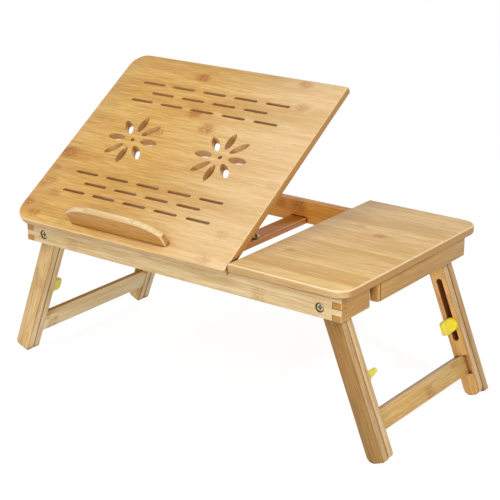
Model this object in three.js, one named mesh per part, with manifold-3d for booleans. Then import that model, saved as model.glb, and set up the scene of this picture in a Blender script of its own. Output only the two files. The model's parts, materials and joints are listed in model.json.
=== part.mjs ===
// Laptop stand with a tilting panel, a fixed side shelf with a drawer, and two pairs of folding legs that
// extend.
//
// Lengths are millimetres, +Z is up, X runs along the length with the drawer at the +X end, and Y runs from
// the front to the rear. Everything is laid out from the left face and the front face of the frame of boards,
// and the finished stand is then centred on its footprint.

import * as THREE from 'three';
import Module from 'manifold-3d';
import { mergeVertices } from 'three/addons/utils/BufferGeometryUtils.js';

const wasm = await Module();
wasm.setup();

// Frame of boards under the tops
const frameLength = 480;
const frameDepth = 274;
const frameHeight = 30;
const frameLift = 167;
const boardThickness = 12;
const rightRailLength = 60;
const railEndRound = 3.5;
const fitGap = 0.3;
const softEdge = 0.9;
const fingersPerCorner = 4;

// The two tops
const topThickness = 11;
const topOverhangSide = 10;
const topOverhangFront = 11;
const topOverhangRear = 15;
const topEdgeRound = 2.6;
const shelfOverhangSide = 12;
const shelfWidth = 161;
const topsGap = 1;
const shelfCorner = 21;
const panelCorner = 23;
const squareCorner = 1.2;
const tiltAngle = 33.5;

// Slots and flowers through the panel
const slotLength = 36.5;
const slotWidth = 4;
const slotPitch = 50;
const slotRowPitch = 15.8;
const slotFieldStart = 45;
const slotRowsFront = 58;
const slotRowsRear = 220;
const longRowSlots = 5;
const flowerFromLeft = 92.5;
const flowerPitch = 141.5;
const flowerFromFront = 155.5;
const petalCount = 8;
const petalInner = 12.5;
const petalOuter = 40;
const petalWidth = 10.6;
const petalPointPower = 1.2;
const flowerEye = 6;

// Ledge that stops a book or laptop from sliding down
const ledgeLength = 154;
const ledgeThickness = 8.4;
const ledgeFromFront = 11.2;
const ledgeEndHeight = 17;
const ledgeCrown = 14.5;
const ledgeCrownPower = 4.2;
const ledgeCorner = 4;
const ledgeEdge = 1.4;

// Butt hinges between the front board and the panel
const hingeWidth = 36;
const hingeInset = 62;
const hingeLeafDepth = 11;
const hingeLeafThickness = 1.1;
const hingeLeafStart = 1.7;
const hingeBarrel = 5.2;
const hingeBore = 2.9;
const hingePin = 2.4;
const hingeGap = 0.25;
const hingePinHead = 1.2;

// Prop under the panel and the brace that it stands on
const braceWidth = 25;
const braceThickness = 8;
const braceHousing = 4;
const legBraceClear = 8.3;
const propFromHinge = 86;
const propDrop = 7.7;
const propLength = 98.5;
const propWidth = 18;
const propThickness = 10;
const bracketCheek = 7;
const bracketLength = 16;
const bracketHeight = 13;
const bracketWeb = 1.9;
const propPin = 4;
const footPin = 3.4;
const footPinProud = 4.2;
const notchRadius = 20;
const notchDepth = 0.6;

// Legs: an outer board on a pivot bolt and an inner board that slides along it
const pivotInset = 29;
const pivotLift = 12;
const splayAngle = 21.7;
const legWidth = 22;
const legThickness = 11;
const legGap = 0.5;
const legStandOff = 1.5;
const legSlotStart = 38;
const legSlotEnd = 119;
const legSlotWidth = 8.2;
const innerBoardStart = 8;
const legSoftEdge = 1.2;
const footRoundLarge = 9;
const footRoundMiddle = 5;
const footRoundSmall = 1.2;

// Stretcher between the two inner boards of a pair
const stretcherStart = 139;
const stretcherHeight = 24;
const stretcherThickness = 12;
const stretcherOffset = 4.5;
const mortiseDepth = 7;
const mortiseSpare = 7.9;

// Pivot bolts and wing knobs
const boltHead = 9.6;
const boltHeadThickness = 3.4;
const boltRecess = 11.6;
const boltRecessDepth = 5;
const boltShank = 6;
const boltCross = 1.5;
const boltCrossLength = 6;
const boltCrossDepth = 1.4;
const nutWidth = 10;
const nutThickness = 5;
const knobDistance = 97;
const knobFlange = 17.5;
const knobFlangeThickness = 4;
const knobWingReach = 18.5;
const knobWingLength = 18;
const knobWingThickness = 5.4;
const knobWingCorner = 4.5;
const rightFrontKnobTurn = 55;
const knobStud = 5.2;
const studCover = 2;

// Drawer that slides out to the right
const drawerFrontGap = 12;
const drawerFrontRound = 8;
const drawerFrontInnerRound = 2.5;
const drawerFrontEdge = 1.6;
const drawerFrontClear = 2.2;
const drawerGrooveInset = 7.5;
const drawerGrooveWidth = 1.2;
const drawerGrooveDepth = 1.2;
const drawerBackInset = 9;
const knobDrawerClear = 5.7;
const drawerWall = 7;
const drawerWallHeight = 20;
const drawerBodyLift = 8;
const drawerFloorThickness = 3;
const drawerFloorLift = 3;
const drawerFloorGroove = 3;
const runnerThickness = 7;
const runnerLip = 5;
const runnerLipThickness = 3;
const runnerClear = 0.5;

// Facets used for round shapes
const largeCornerFacets = 9;
const cornerFacets = 5;
const smallCornerFacets = 2;
const edgeFacets = 2;
const roundFacets = 28;
const smallRoundFacets = 20;
const slotEndFacets = 4;
const petalFacets = 7;
const ledgeFacets = 18;
const notchFacets = 84;

// How far cutters run past what they cut, and the share of a corner's radius that a softened edge leaves
const overrun = 6;
const leastRadiusShare = 0.25;

const DEG = Math.PI / 180;
const frameTop = frameLift + frameHeight;
const topUnder = frameTop + fitGap;
const pivotHeight = frameLift + pivotLift;
const rearInner = frameDepth - boardThickness;
const panelLow = fitGap;
const panelHigh = fitGap + topThickness;
const panelWidth = frameLength + topOverhangSide + shelfOverhangSide - shelfWidth - topsGap;

// Places of the legs' boards along Y, and of the brace that the folded left legs stay clear of
const outerFrontY = boardThickness + legStandOff;
const innerFrontY = outerFrontY + legThickness + legGap;
const outerRearY = frameDepth - outerFrontY - legThickness;
const innerRearY = frameDepth - innerFrontY - legThickness;
const braceStart = pivotInset + footDistance(footRoundSmall) + legBraceClear;

// The drawer's box runs between the knobs of the folded right legs
const knobEnd = innerFrontY + legThickness + fitGap + knobFlangeThickness + knobWingReach;
const drawerBodyStart = knobEnd + knobDrawerClear + runnerThickness + runnerClear;
const drawerBodyWidth = frameDepth - 2 * drawerBodyStart;
const drawerBodyLength = shelfWidth - shelfOverhangSide - boardThickness - drawerBackInset;

// Geometry helpers

function solidFrom(geometry) {
  const bare = geometry.clone();
  bare.deleteAttribute('normal');
  bare.deleteAttribute('uv');
  const merged = mergeVertices(bare);
  return new wasm.Manifold(new wasm.Mesh({
    numProp: 3,
    vertProperties: new Float32Array(merged.attributes.position.array),
    triVerts: new Uint32Array(merged.index.array),
  }));
}

function geometryFrom(solid) {
  const mesh = solid.getMesh();
  const geometry = new THREE.BufferGeometry();
  geometry.setAttribute('position', new THREE.BufferAttribute(new Float32Array(mesh.vertProperties), 3));
  geometry.setIndex(new THREE.BufferAttribute(new Uint32Array(mesh.triVerts), 1));
  const flat = geometry.toNonIndexed();
  flat.computeVertexNormals();
  return flat;
}

// One named sub-part with a material of its own
function piece(name, geometry, material) {
  const mesh = new THREE.Mesh(geometry, material);
  mesh.name = name;
  return mesh;
}

function cut(solid, cutters) {
  return cutters.reduce((rest, cutter) => rest.subtract(cutter), solid);
}

function joined(solids) {
  return solids.reduce((sum, solid) => sum.add(solid));
}

// Upright prism over an outline in the XY plane
function prism(points, low, high) {
  const outline = new THREE.Shape(points.map(([x, y]) => new THREE.Vector2(x, y)));
  const geometry = new THREE.ExtrudeGeometry(outline, { depth: high - low, bevelEnabled: false, steps: 1 });
  geometry.translate(0, 0, low);
  return geometry;
}

function box(xLow, xHigh, yLow, yHigh, zLow, zHigh) {
  const geometry = new THREE.BoxGeometry(xHigh - xLow, yHigh - yLow, zHigh - zLow);
  geometry.translate((xLow + xHigh) / 2, (yLow + yHigh) / 2, (zLow + zHigh) / 2);
  return solidFrom(geometry);
}

// Round bar along X, Y or Z between two stations
function bar(axis, diameter, low, high, a, b, facets = roundFacets) {
  const geometry = new THREE.CylinderGeometry(diameter / 2, diameter / 2, high - low, facets);
  if (axis === 'x') {
    geometry.rotateZ(-Math.PI / 2);
    geometry.translate((low + high) / 2, a, b);
  } else if (axis === 'y') {
    geometry.translate(a, (low + high) / 2, b);
  } else {
    geometry.rotateX(Math.PI / 2);
    geometry.translate(a, b, (low + high) / 2);
  }
  return solidFrom(geometry);
}

function facetsFor(radius) {
  if (radius <= squareCorner) {
    return smallCornerFacets;
  }
  return radius > legWidth / 2 ? largeCornerFacets : cornerFacets;
}

// Rectangle with a radius of its own at each corner, listed from the lower left corner anticlockwise
function roundedOutline(xLow, xHigh, yLow, yHigh, radii, inset) {
  const corners = [
    [xLow, yLow, 1, 1, Math.PI],
    [xHigh, yLow, -1, 1, -Math.PI / 2],
    [xHigh, yHigh, -1, -1, 0],
    [xLow, yHigh, 1, -1, Math.PI / 2],
  ];
  const points = [];
  corners.forEach(([x, y, inX, inY, from], corner) => {
    const radius = radii[corner];
    const rest = Math.max(radius - inset, radius * leastRadiusShare);
    const facets = facetsFor(radius);
    const centreX = x + inX * (inset + rest);
    const centreY = y + inY * (inset + rest);
    for (let i = 0; i <= facets; i += 1) {
      const turn = from + (Math.PI / 2) * (i / facets);
      points.push([centreX + rest * Math.cos(turn), centreY + rest * Math.sin(turn)]);
    }
  });
  return points;
}

// Insets and heights of the rings that round both edges of a board from low to high
function edgeRings(low, high, edge) {
  const rings = [];
  for (let i = 0; i <= edgeFacets; i += 1) {
    const turn = (Math.PI / 2) * (i / edgeFacets);
    rings.push([edge * (1 - Math.sin(turn)), low + edge * (1 - Math.cos(turn))]);
  }
  for (let i = edgeFacets; i >= 0; i -= 1) {
    const turn = (Math.PI / 2) * (i / edgeFacets);
    rings.push([edge * (1 - Math.sin(turn)), high - edge * (1 - Math.cos(turn))]);
  }
  return rings;
}

// Solid through the outlines that outlineAt gives for each ring's inset
function loft(rings, outlineAt) {
  const outlines = rings.map(([inset]) => outlineAt(inset));
  const count = outlines[0].length;
  const positions = [];
  outlines.forEach((outline, ring) => outline.forEach(([x, y]) => positions.push(x, y, rings[ring][1])));
  const index = [];
  for (let ring = 0; ring + 1 < rings.length; ring += 1) {
    for (let i = 0; i < count; i += 1) {
      const next = (i + 1) % count;
      const a = ring * count + i;
      const b = ring * count + next;
      index.push(a, b, b + count, a, b + count, a + count);
    }
  }
  const last = (rings.length - 1) * count;
  for (let i = 1; i + 1 < count; i += 1) {
    index.push(0, i + 1, i);
    index.push(last, last + i, last + i + 1);
  }
  const geometry = new THREE.BufferGeometry();
  geometry.setAttribute('position', new THREE.BufferAttribute(new Float32Array(positions), 3));
  geometry.setIndex(index);
  return solidFrom(geometry);
}

// Board with a rounded outline and softened edges on both faces
function softBoard(xLow, xHigh, yLow, yHigh, zLow, zHigh, radii, edge) {
  return loft(
    edgeRings(zLow, zHigh, edge),
    (inset) => roundedOutline(xLow, xHigh, yLow, yHigh, radii, inset),
  );
}

// Board that stands on edge, with its outline in the XZ plane and its thickness along Y
function uprightBoard(xLow, xHigh, yLow, yHigh, zLow, zHigh, radii, edge) {
  return softBoard(xLow, xHigh, zLow, zHigh, -yHigh, -yLow, radii, edge).rotate([90, 0, 0]);
}

function evenRadii(radius) {
  return [radius, radius, radius, radius];
}

// Materials, one maker for each kind of surface

function wood(color, roughness) {
  return new THREE.MeshStandardMaterial({ color, roughness, metalness: 0 });
}

function panelWood() {
  return wood(0xe0b36c, 0.44);
}

function shelfWood() {
  return wood(0xd8b47d, 0.44);
}

function frameWood() {
  return wood(0xd0a268, 0.5);
}

function legWood() {
  return wood(0xbb9160, 0.5);
}

function ledgeWood() {
  return wood(0xd19a4e, 0.46);
}

function hiddenWood() {
  return wood(0xc3935a, 0.58);
}

function steel() {
  return new THREE.MeshStandardMaterial({ color: 0xb9bbbd, roughness: 0.3, metalness: 1 });
}

function zincPlate() {
  return new THREE.MeshStandardMaterial({ color: 0xa9abad, roughness: 0.42, metalness: 1 });
}

function knobPlastic() {
  return new THREE.MeshStandardMaterial({ color: 0xf0e146, roughness: 0.36, metalness: 0 });
}

// Frame of boards

// Cutters that leave every second finger standing at one end of a board, counted from the lower edge
function fingerCutters(xLow, xHigh, yLow, yHigh, firstCut) {
  const pitch = frameHeight / fingersPerCorner;
  const cutters = [];
  for (let i = firstCut; i < fingersPerCorner; i += 2) {
    const last = i + 1 === fingersPerCorner;
    const low = i === 0 ? frameLift - overrun : frameLift + i * pitch - fitGap / 2;
    const high = last ? frameTop + overrun : frameLift + (i + 1) * pitch + fitGap / 2;
    cutters.push(box(xLow, xHigh, yLow, yHigh, low, high));
  }
  return cutters;
}

// Counterbored hole for a pivot bolt through the front or the rear board
function boltCutters(x, outerFace, inward) {
  const past = outerFace - inward * overrun;
  const floor = outerFace + inward * boltRecessDepth;
  const through = outerFace + inward * (boardThickness + overrun);
  return [
    bar('y', boltRecess, Math.min(past, floor), Math.max(past, floor), x, pivotHeight),
    bar(
      'y', boltShank + 2 * fitGap, Math.min(past, through), Math.max(past, through),
      x, pivotHeight, smallRoundFacets,
    ),
  ];
}

// Housing in a long board for one end of the centre brace
function braceHousingCutter(yLow, yHigh) {
  return box(
    braceStart - fitGap, braceStart + braceWidth + fitGap, yLow, yHigh,
    frameLift - overrun, frameLift + braceThickness + fitGap,
  );
}

const hingeStations = [
  -topOverhangSide + hingeInset,
  -topOverhangSide + panelWidth - hingeInset - hingeWidth,
];

// Pocket for the barrel of a hinge and a shallow bed for its lower leaf
function hingeBedCutters(x) {
  const barrelRoom = hingeBarrel / 2 + fitGap;
  const bed = hingeLeafThickness + 2 * hingeGap;
  const side = hingeGap + hingePinHead + fitGap;
  return [
    box(
      x - side, x + hingeWidth + side, -overrun, barrelRoom,
      frameTop - barrelRoom, frameTop + overrun,
    ),
    box(x - fitGap, x + hingeWidth + fitGap, 0, hingeLeafDepth + fitGap, frameTop - bed, frameTop + overrun),
  ];
}

function frontBoard() {
  const board = uprightBoard(
    0, frameLength, 0, boardThickness, frameLift, frameTop, evenRadii(softEdge), softEdge,
  );
  const reach = boardThickness + fitGap / 2;
  const cutters = [
    ...fingerCutters(-reach, reach, -reach, 2 * reach, 0),
    ...fingerCutters(frameLength - reach, frameLength + reach, -reach, 2 * reach, 0),
    ...boltCutters(pivotInset, 0, 1),
    ...boltCutters(frameLength - pivotInset, 0, 1),
    braceHousingCutter(boardThickness - braceHousing, boardThickness + overrun),
    ...hingeStations.flatMap(hingeBedCutters),
  ];
  return geometryFrom(cut(board, cutters));
}

function rearBoard() {
  const end = frameLength - boardThickness - fitGap;
  const board = uprightBoard(
    0, end, rearInner, frameDepth, frameLift, frameTop, evenRadii(softEdge), softEdge,
  );
  const reach = boardThickness + fitGap / 2;
  const cutters = [
    ...fingerCutters(-reach, reach, rearInner - reach, frameDepth + reach, 0),
    ...boltCutters(pivotInset, frameDepth, -1),
    ...boltCutters(frameLength - pivotInset, frameDepth, -1),
    braceHousingCutter(rearInner - overrun, rearInner + braceHousing),
  ];
  return geometryFrom(cut(board, cutters));
}

// Board along Y that stands on edge
function railBoard(xLow, xHigh, yLow, yHigh) {
  return softBoard(yLow, yHigh, frameLift, frameTop, xLow, xHigh, evenRadii(softEdge), softEdge)
    .rotate([90, 0, 90]);
}

function leftRail() {
  const reach = boardThickness + fitGap / 2;
  const cutters = [
    ...fingerCutters(-reach, 2 * reach, -reach, reach, 1),
    ...fingerCutters(-reach, 2 * reach, frameDepth - reach, frameDepth + reach, 1),
  ];
  return geometryFrom(cut(railBoard(0, boardThickness, 0, frameDepth), cutters));
}

function rightRail() {
  const reach = boardThickness + fitGap / 2;
  const cutters = fingerCutters(frameLength - 2 * reach, frameLength + reach, -reach, reach, 1);
  const board = softBoard(
    frameLength - boardThickness, frameLength, 0, rightRailLength, frameLift, frameTop,
    [softEdge, softEdge, railEndRound, softEdge], softEdge,
  );
  return geometryFrom(cut(board, cutters));
}

function fixedTop() {
  const xHigh = frameLength + shelfOverhangSide;
  const radii = [squareCorner, shelfCorner, shelfCorner, squareCorner];
  return geometryFrom(softBoard(
    xHigh - shelfWidth, xHigh, -topOverhangFront, frameDepth + topOverhangRear,
    topUnder, topUnder + topThickness, radii, topEdgeRound,
  ));
}

// Where the prop's pivot and its foot are when the panel is at its working angle, and how far the prop leans
function propPose() {
  const tilt = tiltAngle * DEG;
  const below = propDrop - panelLow;
  const pivotY = propFromHinge * Math.cos(tilt) + below * Math.sin(tilt);
  const pivotZ = frameTop + propFromHinge * Math.sin(tilt) - below * Math.cos(tilt);
  const footZ = frameLift + braceThickness - notchDepth + fitGap + propThickness / 2;
  const lean = Math.asin((pivotZ - footZ) / propLength);
  return { footY: pivotY + propLength * Math.cos(lean), lean };
}

function centreBrace() {
  const yLow = boardThickness - braceHousing + fitGap;
  const yHigh = rearInner + braceHousing - fitGap;
  const board = softBoard(
    braceStart, braceStart + braceWidth, yLow, yHigh,
    frameLift, frameLift + braceThickness, evenRadii(softEdge), softEdge,
  );
  const notchHeight = frameLift + braceThickness + notchRadius - notchDepth;
  const notch = bar(
    'x', 2 * notchRadius, braceStart - overrun, braceStart + braceWidth + overrun,
    propPose().footY, notchHeight, notchFacets,
  );
  return geometryFrom(cut(board, [notch]));
}

// Tilting panel, modelled flat with its hinge line at the origin

function slotCutter(x, y) {
  const radius = slotWidth / 2;
  const points = [];
  for (let i = 0; i <= slotEndFacets; i += 1) {
    const turn = -Math.PI / 2 + Math.PI * (i / slotEndFacets);
    points.push([x + slotLength - radius + radius * Math.cos(turn), y + radius * Math.sin(turn)]);
  }
  for (let i = 0; i <= slotEndFacets; i += 1) {
    const turn = Math.PI / 2 + Math.PI * (i / slotEndFacets);
    points.push([x + radius + radius * Math.cos(turn), y + radius * Math.sin(turn)]);
  }
  return solidFrom(prism(points, -topThickness, 2 * topThickness));
}

// Three staggered rows: long, short, long
function slotField(fromFront) {
  const cutters = [];
  for (let row = 0; row < 3; row += 1) {
    const short = row === 1;
    const count = short ? longRowSlots - 1 : longRowSlots;
    const shift = short ? slotPitch / 2 : 0;
    for (let i = 0; i < count; i += 1) {
      const x = -topOverhangSide + slotFieldStart + shift + i * slotPitch;
      cutters.push(slotCutter(x, -topOverhangFront + fromFront + row * slotRowPitch));
    }
  }
  return cutters;
}

// Pointed oval between two radii from the flower's eye
// The tips lie on two circles round the flower's eye; a power over 1 makes them sharper than an ellipse's
function petalCutter(x, y, turn) {
  const middle = (petalInner + petalOuter) / 2;
  const half = (petalOuter - petalInner) / 2;
  const points = [];
  for (let i = 0; i < 2 * petalFacets; i += 1) {
    const around = (Math.PI * i) / petalFacets;
    const swell = Math.abs(Math.sin(around)) ** petalPointPower;
    const out = middle - half * Math.cos(around);
    const wide = -Math.sign(Math.sin(around)) * (petalWidth / 2) * swell;
    points.push([
      x + out * Math.cos(turn) - wide * Math.sin(turn),
      y + out * Math.sin(turn) + wide * Math.cos(turn),
    ]);
  }
  return solidFrom(prism(points, panelLow - overrun, panelHigh + overrun));
}

function flowerCutters(x, y) {
  const cutters = [bar('z', flowerEye, panelLow - overrun, panelHigh + overrun, x, y, smallRoundFacets)];
  for (let i = 0; i < petalCount; i += 1) {
    cutters.push(petalCutter(x, y, (2 * Math.PI * i) / petalCount));
  }
  return cutters;
}

// Groove for a hinge barrel and a bed for the upper leaf, in the underside of the panel
function panelHingeCutters(x) {
  const barrelRoom = hingeBarrel / 2 + fitGap;
  const bed = hingeLeafThickness + 2 * hingeGap;
  const side = hingeGap + hingePinHead + fitGap;
  return [
    box(x - side, x + hingeWidth + side, -barrelRoom, barrelRoom, -topThickness, barrelRoom),
    box(x - fitGap, x + hingeWidth + fitGap, 0, hingeLeafDepth + fitGap, -topThickness, bed),
  ];
}

function tiltPanel() {
  const radii = [panelCorner, squareCorner, squareCorner, panelCorner];
  const board = softBoard(
    -topOverhangSide, panelWidth - topOverhangSide, -topOverhangFront, frameDepth + topOverhangRear,
    panelLow, panelHigh, radii, topEdgeRound,
  );
  const flowerX = -topOverhangSide + flowerFromLeft;
  const flowerY = -topOverhangFront + flowerFromFront;
  const cutters = [
    ...slotField(slotRowsFront),
    ...slotField(slotRowsRear),
    ...flowerCutters(flowerX, flowerY),
    ...flowerCutters(flowerX + flowerPitch, flowerY),
    ...hingeStations.flatMap(panelHingeCutters),
  ];
  return geometryFrom(cut(board, cutters));
}

// Straight foot on the panel and a crowned upper edge
// Face of the ledge: upright ends, rounded shoulders and a long flat crown, standing on a level base
function ledgeOutline(inset) {
  const half = ledgeLength / 2 - inset;
  const points = [[-half, 0], [half, 0]];
  for (let i = 0; i <= ledgeFacets; i += 1) {
    const share = Math.cos((Math.PI * i) / ledgeFacets);
    const rise = ledgeEndHeight + ledgeCrown * (1 - Math.abs(share) ** ledgeCrownPower);
    points.push([half * share, rise - inset]);
  }
  return points;
}

function bookLedge() {
  const half = ledgeLength / 2;
  const face = loft(edgeRings(-ledgeThickness, 0, ledgeEdge), ledgeOutline).rotate([90, 0, 0]);
  const plan = roundedOutline(
    -half, half, 0, ledgeThickness, [ledgeCorner, ledgeCorner, squareCorner, squareCorner], 0,
  );
  const solid = face.intersect(solidFrom(prism(plan, -overrun, ledgeEndHeight + ledgeCrown + overrun)));
  const x = panelWidth / 2 - topOverhangSide;
  return geometryFrom(solid.translate([x, ledgeFromFront - topOverhangFront, panelHigh + fitGap]));
}

// Leaf with its share of the barrel; the lower leaf carries the two outer knuckles
function hingeLeaf(x, side) {
  const third = hingeWidth / 3;
  const knuckles = side < 0
    ? [[x, x + third - hingeGap / 2], [x + 2 * third + hingeGap / 2, x + hingeWidth]]
    : [[x + third + hingeGap / 2, x + 2 * third - hingeGap / 2]];
  const near = side < 0 ? -hingeGap / 2 - hingeLeafThickness : hingeGap / 2;
  const plate = box(x, x + hingeWidth, hingeLeafStart, hingeLeafDepth, near, near + hingeLeafThickness);
  const room = hingeBarrel / 2 + hingeGap;
  const others = side < 0
    ? [[x + third - hingeGap / 2, x + 2 * third + hingeGap / 2]]
    : [[x - third, x + third + hingeGap / 2], [x + 2 * third - hingeGap / 2, x + hingeWidth + third]];
  const clear = others.map(([low, high]) => box(low, high, -room, room, -room, room));
  const barrels = knuckles.map(([low, high]) => bar('x', hingeBarrel, low, high, 0, 0, smallRoundFacets));
  const bore = bar('x', hingeBore, x - third, x + hingeWidth + third, 0, 0, smallRoundFacets);
  return geometryFrom(joined([cut(plate, clear), ...barrels]).subtract(bore));
}

function hingePinBar(x) {
  const head = (low) => bar('x', hingeBarrel, low, low + hingePinHead, 0, 0, smallRoundFacets);
  const reach = hingeGap + hingePinHead;
  return geometryFrom(joined([
    bar('x', hingePin, x - reach, x + hingeWidth + reach, 0, 0, smallRoundFacets),
    head(x - reach),
    head(x + hingeWidth + hingeGap),
  ]));
}

// Block under the panel that is slotted for the upper end of the prop
function propBracket() {
  const middle = braceStart + braceWidth / 2;
  const slot = propWidth / 2 + fitGap;
  const low = panelLow - fitGap - bracketHeight;
  const board = softBoard(
    middle - slot - bracketCheek, middle + slot + bracketCheek,
    propFromHinge - bracketLength / 2, propFromHinge + bracketLength / 2,
    low, panelLow - fitGap, evenRadii(squareCorner), softEdge,
  );
  const half = bracketLength / 2 + overrun;
  const cheeks = slot + bracketCheek + overrun;
  return geometryFrom(cut(board, [
    box(
      middle - slot, middle + slot, propFromHinge - half, propFromHinge + half,
      low - overrun, panelLow - fitGap - bracketWeb,
    ),
    bar(
      'x', propPin + 2 * fitGap, middle - cheeks, middle + cheeks,
      propFromHinge, panelLow - propDrop, smallRoundFacets,
    ),
  ]));
}

function propPinBar() {
  const middle = braceStart + braceWidth / 2;
  const reach = propWidth / 2 + fitGap + bracketCheek;
  return geometryFrom(bar(
    'x', propPin, middle - reach, middle + reach, propFromHinge, panelLow - propDrop, smallRoundFacets,
  ));
}

// Prop, modelled along +Y from its upper pivot at the origin
function propArm() {
  const half = propThickness / 2;
  const arm = softBoard(
    -half, propLength + half, -half, half, -propWidth / 2, propWidth / 2,
    evenRadii(half - fitGap), softEdge,
  ).rotate([90, 0, 90]);
  const reach = propWidth / 2 + overrun;
  return geometryFrom(cut(arm, [
    bar('x', propPin + 2 * fitGap, -reach, reach, 0, 0, smallRoundFacets),
    bar('x', footPin + 2 * fitGap, -reach, reach, propLength, 0, smallRoundFacets),
  ]));
}

function footPinBar() {
  const reach = propWidth / 2 + footPinProud;
  return geometryFrom(bar('x', footPin, -reach, reach, propLength, 0, smallRoundFacets));
}

// Legs, modelled upright under the pivot with the ground end at -Z; inward points to the middle of the stand

// Distance from the pivot to the cut foot so that the lower corner just reaches the ground
function footDistance(lowerCornerRound) {
  const splay = splayAngle * DEG;
  const side = (legWidth / 2 - lowerCornerRound) * Math.sin(splay);
  return lowerCornerRound + (pivotHeight - side - lowerCornerRound) / Math.cos(splay);
}

function outerBoard(yLow, roundMinus, roundPlus, lowerCornerRound, inward) {
  const half = legWidth / 2;
  const head = half - fitGap;
  const board = uprightBoard(
    -half, half, yLow, yLow + legThickness, -footDistance(lowerCornerRound), half,
    [roundMinus, roundPlus, head, head], legSoftEdge,
  );
  const near = yLow - overrun;
  const far = yLow + legThickness + overrun;
  const blindLow = inward > 0 ? yLow + studCover : near;
  const blindHigh = inward > 0 ? far : yLow + legThickness - studCover;
  return geometryFrom(cut(board, [
    bar('y', boltShank + 2 * fitGap, near, far, 0, 0, smallRoundFacets),
    bar('y', knobStud + 2 * fitGap, blindLow, blindHigh, 0, -knobDistance, smallRoundFacets),
  ]));
}

// Long slot for the stud of the knob
function legSlotCutter(yLow) {
  const radius = legSlotWidth / 2;
  const near = yLow - overrun;
  const far = yLow + legThickness + overrun;
  return [
    box(-radius, radius, near, far, -legSlotEnd + radius, -legSlotStart - radius),
    bar('y', legSlotWidth, near, far, 0, -legSlotEnd + radius, smallRoundFacets),
    bar('y', legSlotWidth, near, far, 0, -legSlotStart - radius, smallRoundFacets),
  ];
}

// The stretcher ends in a mortise that is wider than the stretcher on the outer side
function innerBoard(yLow, roundMinus, roundPlus, lowerCornerRound, inward, outward) {
  const half = legWidth / 2;
  const board = uprightBoard(
    -half, half, yLow, yLow + legThickness, -footDistance(lowerCornerRound), -innerBoardStart,
    [roundMinus, roundPlus, legSoftEdge, legSoftEdge], legSoftEdge,
  );
  const middle = -outward * stretcherOffset;
  const nearEdge = middle - outward * (stretcherThickness / 2 + fitGap);
  const farEdge = middle + outward * (stretcherThickness / 2 + mortiseSpare);
  const face = inward > 0 ? yLow + legThickness : yLow;
  const floor = face - inward * mortiseDepth;
  const past = face + inward * overrun;
  const mortise = box(
    Math.min(nearEdge, farEdge), Math.max(nearEdge, farEdge), Math.min(floor, past), Math.max(floor, past),
    -stretcherStart - stretcherHeight - fitGap, -stretcherStart + fitGap,
  );
  return geometryFrom(cut(board, [...legSlotCutter(yLow), mortise]));
}

function stretcher(outward) {
  const middle = -outward * stretcherOffset;
  const yLow = innerFrontY + legThickness - mortiseDepth + fitGap;
  const yHigh = innerRearY + mortiseDepth - fitGap;
  return geometryFrom(softBoard(
    middle - stretcherThickness / 2, middle + stretcherThickness / 2, yLow, yHigh,
    -stretcherStart - stretcherHeight, -stretcherStart, evenRadii(softEdge), softEdge,
  ));
}

// Bolt with a round cross-recessed head that sits below the face of the board
function pivotBolt(outerFace, inward) {
  const seat = outerFace + inward * (boltRecessDepth - fitGap);
  const headEnd = seat - inward * boltHeadThickness;
  const tip = outerFace + inward * (boardThickness + legStandOff + legThickness + nutThickness + 2 * fitGap);
  const half = boltCrossLength / 2;
  const slit = boltCross / 2;
  const crossFloor = headEnd + inward * boltCrossDepth;
  const crossPast = headEnd - inward * overrun;
  const low = Math.min(crossFloor, crossPast);
  const high = Math.max(crossFloor, crossPast);
  const body = joined([
    bar('y', boltHead, Math.min(headEnd, seat), Math.max(headEnd, seat), 0, 0, smallRoundFacets),
    bar('y', boltShank, Math.min(headEnd, tip), Math.max(headEnd, tip), 0, 0, smallRoundFacets),
  ]);
  return geometryFrom(cut(body, [
    box(-half, half, low, high, -slit, slit),
    box(-slit, slit, low, high, -half, half),
  ]));
}

function pivotNut(outerFace, inward) {
  const start = outerFace + inward * (boardThickness + legStandOff + legThickness + fitGap);
  const end = start + inward * nutThickness;
  const across = nutWidth / Math.cos(Math.PI / 6);
  const hex = bar('y', across, Math.min(start, end), Math.max(start, end), 0, 0, 6);
  const bore = bar(
    'y', boltShank + 2 * fitGap, Math.min(start, end) - overrun, Math.max(start, end) + overrun,
    0, 0, smallRoundFacets,
  );
  return geometryFrom(hex.subtract(bore));
}

// Wing knob: a round flange against the inner board and a flat wing to turn it by
function wingKnob(face, inward) {
  const seat = face + inward * fitGap;
  const flangeEnd = seat + inward * knobFlangeThickness;
  const wingEnd = flangeEnd + inward * knobWingReach;
  const half = knobWingLength / 2;
  const wingRoot = flangeEnd - inward * fitGap;
  const corners = inward > 0 ? [squareCorner, knobWingCorner, knobWingCorner, squareCorner]
    : [knobWingCorner, squareCorner, squareCorner, knobWingCorner];
  const wing = softBoard(
    Math.min(wingRoot, wingEnd), Math.max(wingRoot, wingEnd), -half, half,
    -knobWingThickness / 2, knobWingThickness / 2, corners, softEdge,
  ).rotate([90, 0, 90]);
  const flange = bar('y', knobFlange, Math.min(seat, flangeEnd), Math.max(seat, flangeEnd), 0, 0);
  return geometryFrom(flange.add(wing));
}

function knobStudBar(face, inward) {
  const low = face - inward * (2 * legThickness + legGap - studCover - fitGap);
  return geometryFrom(bar('y', knobStud, Math.min(low, face), Math.max(low, face), 0, 0, smallRoundFacets));
}

// Drawer

const drawerFrontY = rightRailLength + drawerFrontGap;
const drawerFrontX = frameLength - boardThickness;
const drawerBack = drawerFrontX - drawerBodyLength;
const drawerSideLow = frameLift + drawerBodyLift;
const drawerSideHigh = drawerSideLow + drawerWallHeight;
const drawerBodyEnd = drawerBodyStart + drawerBodyWidth;

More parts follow.
